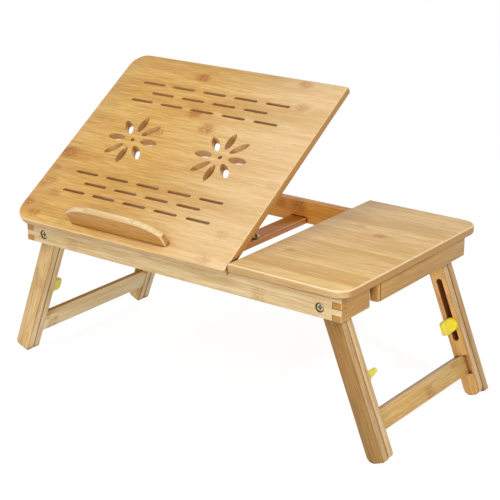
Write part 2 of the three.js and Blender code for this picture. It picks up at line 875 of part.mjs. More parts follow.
function drawerFront() {
  const board = softBoard(
    drawerFrontX, frameLength, drawerFrontY, frameDepth, frameLift, topUnder - drawerFrontClear,
    [drawerFrontInnerRound, drawerFrontRound, softEdge, softEdge], drawerFrontEdge,
  );
  const y = drawerFrontY + drawerGrooveInset;
  const groove = box(
    frameLength - drawerGrooveDepth, frameLength + overrun, y, y + drawerGrooveWidth,
    frameLift - overrun, topUnder + overrun,
  );
  return geometryFrom(board.subtract(groove));
}

// Groove near the lower edge that takes the floor of the drawer
function floorGroove(xLow, xHigh, yLow, yHigh) {
  const low = drawerSideLow + drawerFloorLift;
  return box(xLow, xHigh, yLow, yHigh, low - fitGap, low + drawerFloorThickness + fitGap);
}

function drawerSide(yLow, inward) {
  const yHigh = yLow + drawerWall;
  const board = railStyleBoard(yLow, yHigh);
  const face = inward > 0 ? yHigh : yLow;
  const floor = face - inward * drawerFloorGroove;
  const past = face + inward * overrun;
  const groove = floorGroove(
    drawerBack + drawerWall - drawerFloorGroove, frameLength,
    Math.min(floor, past), Math.max(floor, past),
  );
  return geometryFrom(board.subtract(groove));
}

function railStyleBoard(yLow, yHigh) {
  return uprightBoard(
    drawerBack, drawerFrontX - fitGap, yLow, yHigh, drawerSideLow, drawerSideHigh,
    evenRadii(softEdge), softEdge,
  );
}

function drawerBackBoard() {
  const yLow = drawerBodyStart + drawerWall + fitGap;
  const yHigh = drawerBodyEnd - drawerWall - fitGap;
  const board = softBoard(
    drawerBack, drawerBack + drawerWall, yLow, yHigh, drawerSideLow, drawerSideHigh,
    evenRadii(softEdge), softEdge,
  );
  const groove = floorGroove(
    drawerBack + drawerWall - drawerFloorGroove, frameLength, yLow - drawerWall, yHigh + drawerWall,
  );
  return geometryFrom(board.subtract(groove));
}

function drawerFloor() {
  const inner = drawerWall - drawerFloorGroove + fitGap;
  const low = drawerSideLow + drawerFloorLift;
  return geometryFrom(box(
    drawerBack + inner, drawerFrontX - fitGap, drawerBodyStart + inner, drawerBodyEnd - inner,
    low, low + drawerFloorThickness,
  ));
}

// Angle-shaped runner under the fixed top with a lip below the drawer's side
function drawerRunner(inward) {
  const face = inward > 0 ? drawerBodyStart - runnerClear : drawerBodyEnd + runnerClear;
  const outer = face - inward * runnerThickness;
  const lipEnd = face + inward * runnerLip;
  const xLow = drawerBack;
  const xHigh = drawerFrontX - fitGap;
  const lipTop = drawerSideLow - fitGap;
  const lipLow = lipTop - runnerLipThickness;
  const web = softBoard(
    xLow, xHigh, Math.min(face, outer), Math.max(face, outer), lipLow, topUnder - fitGap,
    evenRadii(softEdge), softEdge,
  );
  const lipStart = face - inward * softEdge;
  const lip = box(xLow, xHigh, Math.min(lipStart, lipEnd), Math.max(lipStart, lipEnd), lipLow, lipTop);
  return geometryFrom(web.add(lip));
}

// Assembly

function at(mesh, x, y, z) {
  mesh.position.set(x, y, z);
  return mesh;
}

function turned(mesh, degrees) {
  mesh.rotation.y = degrees * DEG;
  return mesh;
}

function group(name, children) {
  const holder = new THREE.Group();
  holder.name = name;
  children.forEach((child) => holder.add(child));
  return holder;
}

function frameGroup() {
  const bolts = [];
  [['left', pivotInset], ['right', frameLength - pivotInset]].forEach(([side, x]) => {
    [['front', 0, 1], ['rear', frameDepth, -1]].forEach(([end, face, inward]) => {
      const bolt = piece(`pivot_bolt_${side}_${end}`, pivotBolt(face, inward), steel());
      const nut = piece(`pivot_nut_${side}_${end}`, pivotNut(face, inward), zincPlate());
      bolts.push(at(bolt, x, 0, pivotHeight));
      bolts.push(at(nut, x, 0, pivotHeight));
    });
  });
  const leaves = hingeStations.flatMap((x, i) => {
    const side = i === 0 ? 'left' : 'right';
    return [
      at(piece(`hinge_lower_leaf_${side}`, hingeLeaf(x, -1), zincPlate()), 0, 0, frameTop),
      at(piece(`hinge_pin_${side}`, hingePinBar(x), steel()), 0, 0, frameTop),
    ];
  });
  return group('frame', [
    piece('front_board', frontBoard(), frameWood()),
    piece('rear_board', rearBoard(), frameWood()),
    piece('left_rail', leftRail(), frameWood()),
    piece('right_rail', rightRail(), frameWood()),
    piece('fixed_top', fixedTop(), shelfWood()),
    piece('centre_brace', centreBrace(), hiddenWood()),
    piece('drawer_runner_front', drawerRunner(1), hiddenWood()),
    piece('drawer_runner_rear', drawerRunner(-1), hiddenWood()),
    ...bolts,
    ...leaves,
  ]);
}

function panelGroup() {
  const prop = group('prop', [
    piece('prop_arm', propArm(), hiddenWood()),
    piece('prop_foot_pin', footPinBar(), steel()),
  ]);
  prop.position.set(braceStart + braceWidth / 2, propFromHinge, panelLow - propDrop);
  prop.rotation.x = -tiltAngle * DEG - propPose().lean;
  const leaves = hingeStations.map((x, i) => {
    const side = i === 0 ? 'left' : 'right';
    return piece(`hinge_upper_leaf_${side}`, hingeLeaf(x, 1), zincPlate());
  });
  const panel = group('panel', [
    piece('tilt_panel', tiltPanel(), panelWood()),
    piece('book_ledge', bookLedge(), ledgeWood()),
    piece('prop_bracket', propBracket(), hiddenWood()),
    piece('prop_pin', propPinBar(), steel()),
    ...leaves,
    prop,
  ]);
  panel.position.set(0, 0, frameTop);
  panel.rotation.x = tiltAngle * DEG;
  return panel;
}

// Rounding of the foot corners on the -X side and the +X side, as the boards in each pair were cut
const footCorners = {
  left: {
    outerFront: [footRoundMiddle, footRoundSmall],
    outerRear: [footRoundMiddle, footRoundSmall],
    innerFront: [footRoundMiddle, footRoundSmall],
    innerRear: [footRoundLarge, footRoundSmall],
  },
  right: {
    outerFront: [footRoundLarge, footRoundSmall],
    outerRear: [footRoundLarge, footRoundSmall],
    innerFront: [footRoundLarge, footRoundMiddle],
    innerRear: [footRoundLarge, footRoundLarge],
  },
};

function legGroup(side) {
  const outward = side === 'left' ? -1 : 1;
  const corners = footCorners[side];
  const lower = (pair) => (outward > 0 ? pair[0] : pair[1]);
  const outer = (y, pair, inward) => outerBoard(y, pair[0], pair[1], lower(pair), inward);
  const inner = (y, pair, inward) => innerBoard(y, pair[0], pair[1], lower(pair), inward, outward);
  const knob = (end, face, inward, turn) => {
    const wing = turned(piece(`${side}_${end}_knob`, wingKnob(face, inward), knobPlastic()), turn);
    const stud = piece(`${side}_${end}_knob_stud`, knobStudBar(face, inward), steel());
    return [at(wing, 0, 0, -knobDistance), at(stud, 0, 0, -knobDistance)];
  };
  const legs = group(`${side}_legs`, [
    piece(`${side}_front_outer_leg`, outer(outerFrontY, corners.outerFront, 1), legWood()),
    piece(`${side}_rear_outer_leg`, outer(outerRearY, corners.outerRear, -1), legWood()),
    piece(`${side}_front_inner_leg`, inner(innerFrontY, corners.innerFront, 1), legWood()),
    piece(`${side}_rear_inner_leg`, inner(innerRearY, corners.innerRear, -1), legWood()),
    piece(`${side}_stretcher`, stretcher(outward), legWood()),
    ...knob('front', innerFrontY + legThickness, 1, outward > 0 ? rightFrontKnobTurn : 0),
    ...knob('rear', innerRearY, -1, 0),
  ]);
  legs.position.set(outward > 0 ? frameLength - pivotInset : pivotInset, 0, pivotHeight);
  legs.rotation.y = -outward * splayAngle * DEG;
  return legs;
}

function drawerGroup() {
  return group('drawer', [
    piece('drawer_front', drawerFront(), frameWood()),
    piece('drawer_side_front', drawerSide(drawerBodyStart, 1), hiddenWood()),
    piece('drawer_side_rear', drawerSide(drawerBodyEnd - drawerWall, -1), hiddenWood()),
    piece('drawer_back', drawerBackBoard(), hiddenWood()),
    piece('drawer_floor', drawerFloor(), hiddenWood()),
  ]);
}

function centred(stand) {
  stand.updateMatrixWorld(true);
  const bounds = new THREE.Box3().setFromObject(stand, true);
  const middle = bounds.getCenter(new THREE.Vector3());
  stand.position.set(-middle.x, -middle.y, -bounds.min.z);
  return group('laptop_stand_with_drawer', [stand]);
}

export default centred(group('stand', [
  frameGroup(),
  panelGroup(),
  drawerGroup(),
  legGroup('left'),
  legGroup('right'),
]));
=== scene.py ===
"""Looks for a bamboo laptop stand with a tilting panel, a side shelf with a drawer, and folding legs.

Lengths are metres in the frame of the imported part: X runs along the stand, Y from front to rear, Z up.
Patterns in the materials are laid out in millimetres, because that is how timber is described.
"""

import json
import math

import bmesh
import bpy
from bpy.props import FloatProperty, FloatVectorProperty, PointerProperty
from mathutils import Matrix, Vector


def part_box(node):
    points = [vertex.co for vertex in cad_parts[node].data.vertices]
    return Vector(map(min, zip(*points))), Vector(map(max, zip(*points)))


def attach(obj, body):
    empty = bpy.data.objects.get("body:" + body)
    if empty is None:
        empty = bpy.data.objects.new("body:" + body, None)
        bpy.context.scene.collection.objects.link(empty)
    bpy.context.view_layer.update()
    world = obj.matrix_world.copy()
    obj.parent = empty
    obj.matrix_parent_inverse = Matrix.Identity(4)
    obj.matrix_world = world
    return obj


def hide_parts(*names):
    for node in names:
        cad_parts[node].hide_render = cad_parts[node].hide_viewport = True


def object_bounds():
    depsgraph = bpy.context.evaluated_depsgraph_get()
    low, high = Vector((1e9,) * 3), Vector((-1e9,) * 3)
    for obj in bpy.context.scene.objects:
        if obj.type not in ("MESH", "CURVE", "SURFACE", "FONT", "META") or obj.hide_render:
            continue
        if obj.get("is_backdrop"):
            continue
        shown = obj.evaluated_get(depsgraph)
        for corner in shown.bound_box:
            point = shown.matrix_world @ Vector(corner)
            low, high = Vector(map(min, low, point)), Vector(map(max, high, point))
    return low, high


bl_info = {
    "name": "Bamboo laptop stand",
    "version": (1, 0, 0),
    "blender": (4, 5, 0),
    "location": "3D View > Sidebar > Laptop stand",
    "description": "Dresses a laptop stand with bamboo boards, yellow wing knobs and plated steel",
    "category": "Object",
}

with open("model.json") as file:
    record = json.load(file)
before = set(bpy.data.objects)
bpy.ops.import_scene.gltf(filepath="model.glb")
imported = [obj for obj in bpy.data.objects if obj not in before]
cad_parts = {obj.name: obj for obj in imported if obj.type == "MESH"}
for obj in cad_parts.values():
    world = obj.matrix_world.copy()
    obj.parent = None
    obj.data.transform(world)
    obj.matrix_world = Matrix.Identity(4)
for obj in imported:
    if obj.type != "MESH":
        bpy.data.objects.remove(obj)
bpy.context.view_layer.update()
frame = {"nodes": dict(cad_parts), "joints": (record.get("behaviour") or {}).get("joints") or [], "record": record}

MM = 0.001
MM_PER_METRE = 1000.0
SIDES = ("left", "right")
ENDS = ("front", "rear")


def linear(code):
    """The linear colour of an sRGB hex code such as #DEB268."""
    shares = [int(code[place : place + 2], 16) / 255 for place in (1, 3, 5)]
    return tuple(share / 12.92 if share <= 0.04045 else ((share + 0.055) / 1.055) ** 2.4 for share in shares)


def colour_property(name, description, code):
    return FloatVectorProperty(
        name=name, description=description, subtype="COLOR", size=3, min=0, max=1, default=linear(code)
    )


def length_property(name, description, millimetres):
    return FloatProperty(name=name, description=description, unit="LENGTH", default=millimetres * MM, min=0)


def power_property(name, description, watts):
    return FloatProperty(name=name, description=description, unit="POWER", default=watts, min=0)


def angle_property(name, description, degrees):
    return FloatProperty(name=name, description=description, subtype="ANGLE", default=math.radians(degrees))


class StandBamboo(bpy.types.PropertyGroup):
    """Laminated bamboo: its colours and the sizes of its figure."""

    # The panel turns from golden to pale peach towards its right end: a painted sheen
    panel_left: colour_property("Panel, left", "Golden tone at the panel's left end", "#DCB062")
    panel_right_sheen: colour_property("Panel, right", "Paler peach tone at the panel's right end", "#E6C592")
    shelf: colour_property("Shelf", "Tone of the fixed top", "#E7C17F")
    front_board: colour_property("Front board", "Pale tone of the front board", "#E8CF9E")
    # The rear board's ruddy tone and the brace's brown are painted shade, with the warm light bounced under the
    # panel
    rear_board: colour_property("Rear board", "Ruddy tone of the rear board", "#E8A548")
    brace: colour_property("Brace", "Brown tone of the brace", "#BE792F")
    drawer: colour_property("Drawer", "Tone of the drawer front and the rails", "#C99D50")
    # Lit and shaded copies of one bamboo: the left legs and the right inner boards are painted paler for light,
    # the right outer boards browner for shade
    legs_left_lit: colour_property("Left legs", "Pale tone of the left pair", "#DFBE84")
    legs_right_shaded: colour_property("Right legs", "Brown tone of the right pair", "#A27B42")
    inner_right_lit: colour_property("Right inner legs", "Tone of the right pair's inner boards", "#EDBE72")
    # Painted light on the ledge's upper edge, and the pale edges of the lit left legs
    pale_lit_edge: colour_property("Pale edge", "Planed edge of the left legs and the ledge", "#EDD3A0")
    brown_edge: colour_property("Brown edge", "Planed edge of the right outer legs", "#C6A271")
    cream_edge: colour_property("Cream edge", "Planed edge of the right inner legs", "#DCBE8E")
    # Painted shade on the rear part of the stretchers' planed edges
    stretcher_edge_shade: colour_property("Dark edge", "Rear plies of the stretchers, on their planed edges", "#A5722F")
    top_edge: colour_property("Tops' edge", "Planed edge of the panel and the shelf", "#D6B682")
    # Colour that painted shade multiplies into joints, creases and recesses, where ambient occlusion finds them
    crease_shade_colour: colour_property("Crease", "Share of its colour that bamboo keeps in a dusty joint", "#8A5628")
    glow: colour_property("Warm patch", "Warmer patches that run along the strips", "#C58030")
    # Painted shade on the lower arrises of the tops and on the legs' arrises
    arris_shade_colour: colour_property("Lower arris", "Lower arris of the tops, where lacquer pooled", "#8F6433")
    # The left stretcher is painted paler for the light on it, the right one darker for its shade
    stretcher_left: colour_property("Left stretcher", "Tone of the rail between the left legs", "#FFE9B4")
    stretcher_right: colour_property("Right stretcher", "Tone of the rail between the right legs", "#E4C280")
    # The ledge's darker golden is painted shade on its face, which looks down the slope
    ledge: colour_property("Ledge", "Tone of the book ledge", "#C48F40")
    hidden: colour_property("Hidden boards", "Tone of the drawer's box, the prop and the runners", "#CFA368")
    # Painted highlight on the upper arrises
    arris: colour_property("Arris", "Sanded arris, where the lacquer is thin", "#F3DCB6")
    knuckle: colour_property("Knuckle", "Mottled mark where the cane had a joint", "#A75C16")
    fibre: colour_property("Fibre", "Fine dark fibres along the grain", "#96662C")
    end_grain: colour_property("End grain", "Cut end of the cane, which drinks more lacquer", "#BE8C46")
    panel_wall: colour_property("Panel's routed wall", "Bare wall of a slot or petal in the panel", "#E6BC80")
    # Painted shade in the legs' slots and mortises
    leg_wall_shade: colour_property("Legs' routed wall", "Wall of a slot or mortise, dark with lacquer", "#99572A")
    strip_width: length_property("Strip width", "Width of one glued strip", 17.5)
    ply_thickness: length_property("Ply thickness", "Thickness of one layer of strips", 3.7)
    fibre_pitch: length_property("Fibre pitch", "Distance between fibres, as coarse as it needs to show", 1.5)
    fibre_length: length_property("Fibre length", "Length over which a fibre keeps its tone", 42)
    # How far from a joint that painted shade reaches
    crease_shade_reach: length_property("Crease reach", "How far from a joint its dust shows", 5)
    knuckle_length: length_property("Knuckle length", "Length of a mottled mark along the grain", 22)
    knuckle_spacing: length_property("Knuckle spacing", "Distance between the joints of one cane", 290)
    softened_edge: length_property("Softened edge", "Sanding round on the boards' arrises", 0.5)
    leg_round: length_property("Leg round", "Sanding round on the legs, which shows a line between two", 0.9)


class StandHardware(bpy.types.PropertyGroup):
    """Knobs, bolts, pins and hinges."""

    knob: colour_property("Knob", "Yellow moulded plastic", "#FFEE46")
    zinc: colour_property("Zinc plate", "Passivated zinc on nuts and hinges", "#C9C3AE")
    brass: colour_property("Bolt", "Yellow passivated zinc on the pivot bolts", "#C9BF98")
    steel: colour_property("Steel", "Bright drawn steel of the pins", "#B9BABC")
    # Painted shade in the recesses of the metal
    recess_shade: colour_property("Oil", "Oil and dirt in the bolts' recesses", "#302C24")
    knob_round: length_property("Knob round", "Moulded radius on the knob's edges", 1.1)
    bolt_round: length_property("Bolt round", "Radius on the bolt's edges", 0.35)
    leaf_round: length_property("Leaf round", "Radius on the hinge leaves' edges", 0.2)


class StandStage(bpy.types.PropertyGroup):
    """Camera, floor and lamps."""

    azimuth: angle_property("Azimuth", "Camera's turn from the front towards the drawer end", 36.05)
    elevation: angle_property("Elevation", "Camera's height angle", 22.3)
    distance: FloatProperty(name="Distance", description="Camera to its target", unit="LENGTH", default=1.75)
    target: FloatVectorProperty(
        name="Target", description="Point that the camera faces", subtype="XYZ", unit="LENGTH",
        default=(0.07834, -0.0303, 0.0969),
    )
    lens: FloatProperty(
        name="Lens", description="Focal length for a 36 mm sensor", unit="CAMERA", default=102.7
    )
    shift_x: FloatProperty(name="Shift X", description="Lens shift sideways, in widths", default=-0.0552)
    shift_y: FloatProperty(name="Shift Y", description="Lens shift upwards, in widths", default=0.1428)
    floor_size: FloatProperty(name="Floor size", description="Side of the floor", unit="LENGTH", default=9)
    floor_glow: FloatProperty(
        name="Floor glow", description="Share of the floor that the camera sees as plain white",
        subtype="FACTOR", min=0, max=1, default=0.8,
    )
    floor_white: FloatProperty(
        name="Floor white", description="Strength of that white, so that the unshaded floor is just white",
        default=1.15,
    )
    ambient: FloatProperty(name="Ambient", description="Strength of the even white room", default=0.34)
    key_power: power_property("Key power", "Soft box above the front left", 25)
    fill_power: power_property("Fill power", "Soft box past the drawer end", 13.5)
    low_power: power_property("Low power", "Soft box low in front", 16)


# Mesh helpers


# Vertices nearer than this are one, faces that meet at less than this angle are one face, and a rounded
# arris has so many steps
MERGE_DISTANCE = 0.001 * MM
FLAT_ANGLE = math.radians(0.3)
ARRIS_STEPS = 3


def softened(node_name, material, edge, walls=None, edge_angle=50):
    """A copy of a CAD node with its arrises rounded, riding with the node's body in its place.

    edge is the rounding's width, on edges that turn by more than edge_angle degrees. walls holds the second
    material, turn and margin that paint_walls takes.
    """
    node = frame["nodes"][node_name]
    mesh = node.data.copy()
    mesh.name = node_name + "_skin"
    shape = bmesh.new()
    shape.from_mesh(mesh)
    bmesh.ops.remove_doubles(shape, verts=shape.verts, dist=MERGE_DISTANCE)
    bmesh.ops.dissolve_limit(
        shape, angle_limit=FLAT_ANGLE, verts=shape.verts, edges=shape.edges, use_dissolve_boundaries=False
    )
    shape.to_mesh(mesh)
    shape.free()
    mesh.materials.clear()
    mesh.materials.append(material)
    if "custom_normal" in mesh.attributes:
        mesh.attributes.remove(mesh.attributes["custom_normal"])
    if walls:
        paint_walls(mesh, *walls)
    mesh.polygons.foreach_set("use_smooth", [True] * len(mesh.polygons))
    mesh.set_sharp_from_angle(angle=math.radians(edge_angle))
    piece = bpy.data.objects.new(mesh.name, mesh)
    bpy.context.scene.collection.objects.link(piece)
    if edge:
        rounding = piece.modifiers.new("Sanded arris", "BEVEL")
        rounding.width = edge
        rounding.segments = ARRIS_STEPS
        rounding.limit_method = "ANGLE"
        rounding.angle_limit = math.radians(edge_angle)
        rounding.use_clamp_overlap = True
        rounding.harden_normals = True
    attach(piece, body_of(node_name))
    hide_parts(node_name)
    return piece


# How far inside a board's outline its openings start, and how much a wall's normal may lean out of its plane
BOARD_MARGIN = 4 * MM
PANEL_MARGIN = 8 * MM
WALL_LEAN = 0.5


def paint_walls(mesh, material, turn, margin):
    """Gives the walls of a board's openings a material of their own.

    turn lays the board's outline in the XY plane, and margin is how far inside that outline a wall must be.
    """
    mesh.materials.append(material)
    laid = turn.to_matrix()
    places = [laid @ vertex.co for vertex in mesh.vertices]
    low = [min(place[axis] for place in places) + margin for axis in (0, 1)]
    high = [max(place[axis] for place in places) - margin for axis in (0, 1)]
    for face in mesh.polygons:
        centre = laid @ face.center
        inside = all(low[axis] < centre[axis] < high[axis] for axis in (0, 1))
        if inside and abs((laid @ face.normal).z) < WALL_LEAN:
            face.material_index = 1


def body_of(node_name):
    """The body that a CAD node belongs to."""
    for body, nodes in frame["record"]["behaviour"]["bodies"].items():
        if node_name in nodes:
            return body
    raise RuntimeError("no body holds " + node_name)


def joint(name):
    """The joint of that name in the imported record."""
    for entry in frame["joints"]:
        if entry["name"] == name:
            return entry
    raise RuntimeError("no joint is called " + name)


# Material helpers


# Settings of the nodes that ease a value from nothing to full and that mix two colours. The first has
# sockets 0 for the value, 1 and 2 for its ends, and 3 and 4 for what those become. The second has sockets 0
# for the share and 6 and 7 for the colours.
SMOOTH = {"interpolation_type": "SMOOTHSTEP"}
COLOURS = {"data_type": "RGBA", "take": 2}


def add(tree, kind, inputs=None, take=0, **settings):
    """Adds a node with its settings and links, and returns one of its outputs.

    inputs holds values, or the outputs that feed the sockets. take is the number or name of the output, or
    None for the node itself.
    """
    node = tree.nodes.new(kind)
    for setting, value in settings.items():
        setattr(node, setting, value)
    for socket, value in (inputs or {}).items():
        if isinstance(value, bpy.types.NodeSocket):
            tree.links.new(value, node.inputs[socket])
        else:
            node.inputs[socket].default_value = value
    return node if take is None else node.outputs[take]


def with_alpha(colour):
    return (*colour, 1)


def new_material(name):
    """An empty material and its surface output."""
    material = bpy.data.materials.new(name)
    material.use_nodes = True
    material.node_tree.nodes.clear()
    output = add(material.node_tree, "ShaderNodeOutputMaterial", take=None)
    return material, material.node_tree, output


def grain_turn(along, across):
    """The rotation that lays one direction of the part along the figure's X axis, and another along its Y."""
    along = Vector(along).normalized()
    across = (Vector(across) - Vector(across).dot(along) * along).normalized()
    return Matrix((along, across, along.cross(across))).to_euler("XYZ")


# Sockets of the figure's group
FIGURE_SOCKETS = (
    ("INPUT", "Vector", ("Vector",)),
    ("INPUT", "Color", ("Tone",)),
    ("INPUT", "Float", ("End grain", "Placed knuckles", "Strewn knuckles", "Strength")),
    ("INPUT", "Float", ("Arris", "Lower arris", "Stains")),
    ("OUTPUT", "Color", ("Color",)),
    ("OUTPUT", "Float", ("Roughness", "Height")),
)
# Clouds in a millimetre along the grain and across it: drifts of tone are 170 by 50 mm, warm patches 170 by
# 20 mm, and the specks of a knuckle 3 by 2 mm
DRIFTS = (0.006, 0.02)
WARM_PATCHES = (0.006, 0.05)
SPECKS = (0.35, 0.6)
# What a board's tone is multiplied by in its dark strips and fibres, and in its pale ones
DARKER = (0.8, 0.7, 0.53, 1)
PALER = (1.08, 1.1, 1.16, 1)
# Half widths of the glue lines between strips and between plies, in millimetres
STRIP_GLUE = 0.35
PLY_GLUE = 0.3
# How far chance slides a strip's fibres, in fibre lengths, and its joints, in the distance between two
FIBRE_SLIDE = 9
JOINT_SLIDE = 7.3
# Shares of a knuckle's length from its middle to where it fades out and to where it is full
KNUCKLE_FADE = (0.62, 0.2)


def figure_group():
    """Bamboo's figure. Its Vector is in millimetres, with X along the grain and Y across the strips."""
    if "Bamboo figure" in bpy.data.node_groups:
        return bpy.data.node_groups["Bamboo figure"]
    look = bpy.context.scene.stand_bamboo
    strip = look.strip_width * MM_PER_METRE
    ply = look.ply_thickness * MM_PER_METRE
    pitch = look.fibre_pitch * MM_PER_METRE
    reach = look.fibre_length * MM_PER_METRE
    spacing = look.knuckle_spacing * MM_PER_METRE
    mark = look.knuckle_length * MM_PER_METRE
    tree = bpy.data.node_groups.new("Bamboo figure", "ShaderNodeTree")
    for way, kind, names in FIGURE_SOCKETS:
        for name in names:
            tree.interface.new_socket(name, in_out=way, socket_type="NodeSocket" + kind)
    given = add(tree, "NodeGroupInput", take=None).outputs
    strength = given["Strength"]

    def clouds(vector, along, across, detail, roughness=0.55):
        """Noise with so many clouds in a millimetre along the grain and across it."""
        scale = (along, across, across)
        stretched = add(tree, "ShaderNodeVectorMath", {0: vector, 1: scale}, operation="MULTIPLY")
        inputs = {"Vector": stretched, "Scale": 1.0, "Detail": detail, "Roughness": roughness}
        return add(tree, "ShaderNodeTexNoise", inputs)

    def off_centre(cells):
        """How far a place is from the middle of its cell, as a share of the cell, up to a half."""
        share = add(tree, "ShaderNodeMath", {0: cells}, operation="FRACT")
        share = add(tree, "ShaderNodeMath", {0: share, 1: 0.5}, operation="SUBTRACT")
        return add(tree, "ShaderNodeMath", {0: share}, operation="ABSOLUTE")

    def layered(colour, *layers):
        """The colour under layers of other colours, each with the share of it that shows."""
        for share, layer in layers:
            colour = add(tree, "ShaderNodeMix", {0: share, 6: colour, 7: layer}, **COLOURS)
        return colour

    # Strips and plies, each with a tone of its own
    parts = add(tree, "ShaderNodeSeparateXYZ", {0: given["Vector"]}, take=None).outputs
    across = add(tree, "ShaderNodeMath", {0: parts[1], 1: strip}, operation="DIVIDE")
    strip_number = add(tree, "ShaderNodeMath", {0: across}, operation="FLOOR")
    through = add(tree, "ShaderNodeMath", {0: parts[2], 1: ply}, operation="DIVIDE")
    ply_number = add(tree, "ShaderNodeMath", {0: through}, operation="FLOOR")
    cell = add(tree, "ShaderNodeCombineXYZ", {0: strip_number, 1: ply_number})
    chance = add(tree, "ShaderNodeTexWhiteNoise", {"Vector": cell}, take=None, noise_dimensions="3D").outputs
    strip_tone = chance["Value"]

    # Fibres, bands and flecks, slid along the grain by chance in each strip
    slid = {0: chance["Color"], 1: (FIBRE_SLIDE * reach, 0, 0), 2: given["Vector"]}
    slid = add(tree, "ShaderNodeVectorMath", slid, operation="MULTIPLY_ADD")
    fibres = clouds(slid, 1 / reach, 1 / pitch, 4.0, 0.7)
    bands = clouds(slid, 0.3 / reach, 1 / (6 * pitch), 2.0)
    flecks = clouds(slid, 4 / reach, 1.6 / pitch, 1.0)
    drift = clouds(given["Vector"], *DRIFTS, 1.0)

    # How far each place leans from the pale tone to the dark one
    bands = add(tree, "ShaderNodeMath", {0: bands, 1: 0.8}, operation="MULTIPLY")
    lean = add(tree, "ShaderNodeMath", {0: strip_tone, 1: 0.34, 2: bands}, operation="MULTIPLY_ADD")
    lean = add(tree, "ShaderNodeMath", {0: drift, 1: 0.5, 2: lean}, operation="MULTIPLY_ADD")
    lean = add(tree, "ShaderNodeMapRange", {0: lean, 1: 0.5, 2: 1.2}, **SMOOTH)
    lean = add(tree, "ShaderNodeMath", {0: lean, 1: 0.5}, operation="SUBTRACT")
    lean = add(tree, "ShaderNodeMath", {0: lean, 1: strength, 2: 0.5}, operation="MULTIPLY_ADD")
    dark_line = add(tree, "ShaderNodeMapRange", {0: fibres, 1: 0.47, 2: 0.6, 4: 0.55}, **SMOOTH)
    dark_line = add(tree, "ShaderNodeMath", {0: dark_line, 1: strength}, operation="MULTIPLY")
    pale_line = add(tree, "ShaderNodeMapRange", {0: fibres, 1: 0.5, 2: 0.38, 4: 0.45}, **SMOOTH)
    pale_line = add(tree, "ShaderNodeMath", {0: pale_line, 1: strength}, operation="MULTIPLY")
    darker, paler = (
        add(tree, "ShaderNodeMix", {0: 1.0, 6: given["Tone"], 7: share}, blend_type="MULTIPLY", **COLOURS)
        for share in (DARKER, PALER)
    )
    warm = clouds(slid, *WARM_PATCHES, 3.0)
    warm = add(tree, "ShaderNodeMapRange", {0: warm, 1: 0.48, 2: 0.68, 4: 0.24}, **SMOOTH)
    warm = add(tree, "ShaderNodeMath", {0: warm, 1: strength}, operation="MULTIPLY")
    warm = add(tree, "ShaderNodeMath", {0: warm, 1: given["Stains"]}, operation="MAXIMUM")
    fleck = add(tree, "ShaderNodeMapRange", {0: flecks, 1: 0.62, 2: 0.8, 4: 0.3}, **SMOOTH)
    wood = layered(
        paler, (lean, darker), (warm, with_alpha(look.glow)), (dark_line, darker), (pale_line, paler),
        (fleck, with_alpha(look.fibre)),
    )

    # Joints of the cane, at a different place in each strip
    along = add(tree, "ShaderNodeMath", {0: parts[0], 1: spacing}, operation="DIVIDE")
    along = add(tree, "ShaderNodeMath", {0: strip_tone, 1: JOINT_SLIDE, 2: along}, operation="MULTIPLY_ADD")
    ends = {0: off_centre(along), 1: KNUCKLE_FADE[0] * mark / spacing, 2: KNUCKLE_FADE[1] * mark / spacing}
    strewn = add(tree, "ShaderNodeMapRange", ends, **SMOOTH)
    strewn = add(tree, "ShaderNodeMath", {0: strewn, 1: given["Strewn knuckles"]}, operation="MULTIPLY")
    knuckles = add(tree, "ShaderNodeMath", {0: strewn, 1: given["Placed knuckles"]}, operation="MAXIMUM")
    specks = clouds(given["Vector"], *SPECKS, 4.0, 0.75)
    specks = add(tree, "ShaderNodeMapRange", {0: specks, 1: 0.42, 2: 0.56, 3: 0.15}, **SMOOTH)
    knuckles = add(tree, "ShaderNodeMath", {0: knuckles, 1: specks}, operation="MULTIPLY")

    # Glue lines between the strips and between the plies, then the painted highlight and painted shade on the
    # arrises
    ends = {0: off_centre(across), 1: 0.5 - STRIP_GLUE / strip, 2: 0.5, 4: 0.12}
    seam = add(tree, "ShaderNodeMapRange", ends, **SMOOTH)
    ends = {0: off_centre(through), 1: 0.5 - PLY_GLUE / ply, 2: 0.5, 4: 0.55}
    ply_seam = add(tree, "ShaderNodeMapRange", ends, **SMOOTH)
    wood = layered(
        wood, (knuckles, with_alpha(look.knuckle)), (seam, with_alpha(look.fibre)),
        (given["Arris"], with_alpha(look.arris)), (given["Lower arris"], with_alpha(look.arris_shade_colour)),
    )

    # The sawn ends show the fibres as dots, with the plies' glue lines across them
    dots = add(tree, "ShaderNodeTexVoronoi", {"Vector": given["Vector"], "Scale": 0.9 / pitch})
    dots = add(tree, "ShaderNodeMapRange", {0: dots, 1: 0.45, 2: 0.15, 4: 0.4}, **SMOOTH)
    sawn = layered(
        with_alpha(look.end_grain), (dots, with_alpha(look.fibre)), (ply_seam, with_alpha(look.knuckle))
    )
    wood = layered(wood, (given["End grain"], sawn))

    height = add(tree, "ShaderNodeMath", {0: flecks, 1: -0.4}, operation="MULTIPLY")
    height = add(tree, "ShaderNodeMath", {0: fibres, 1: 0.6, 2: height}, operation="MULTIPLY_ADD")
    rough = add(tree, "ShaderNodeMapRange", {0: fibres, 1: 0.3, 2: 0.7, 3: 0.36, 4: 0.5}, **SMOOTH)
    add(tree, "NodeGroupOutput", {"Color": wood, "Roughness": rough, "Height": height}, take=None)
    return tree


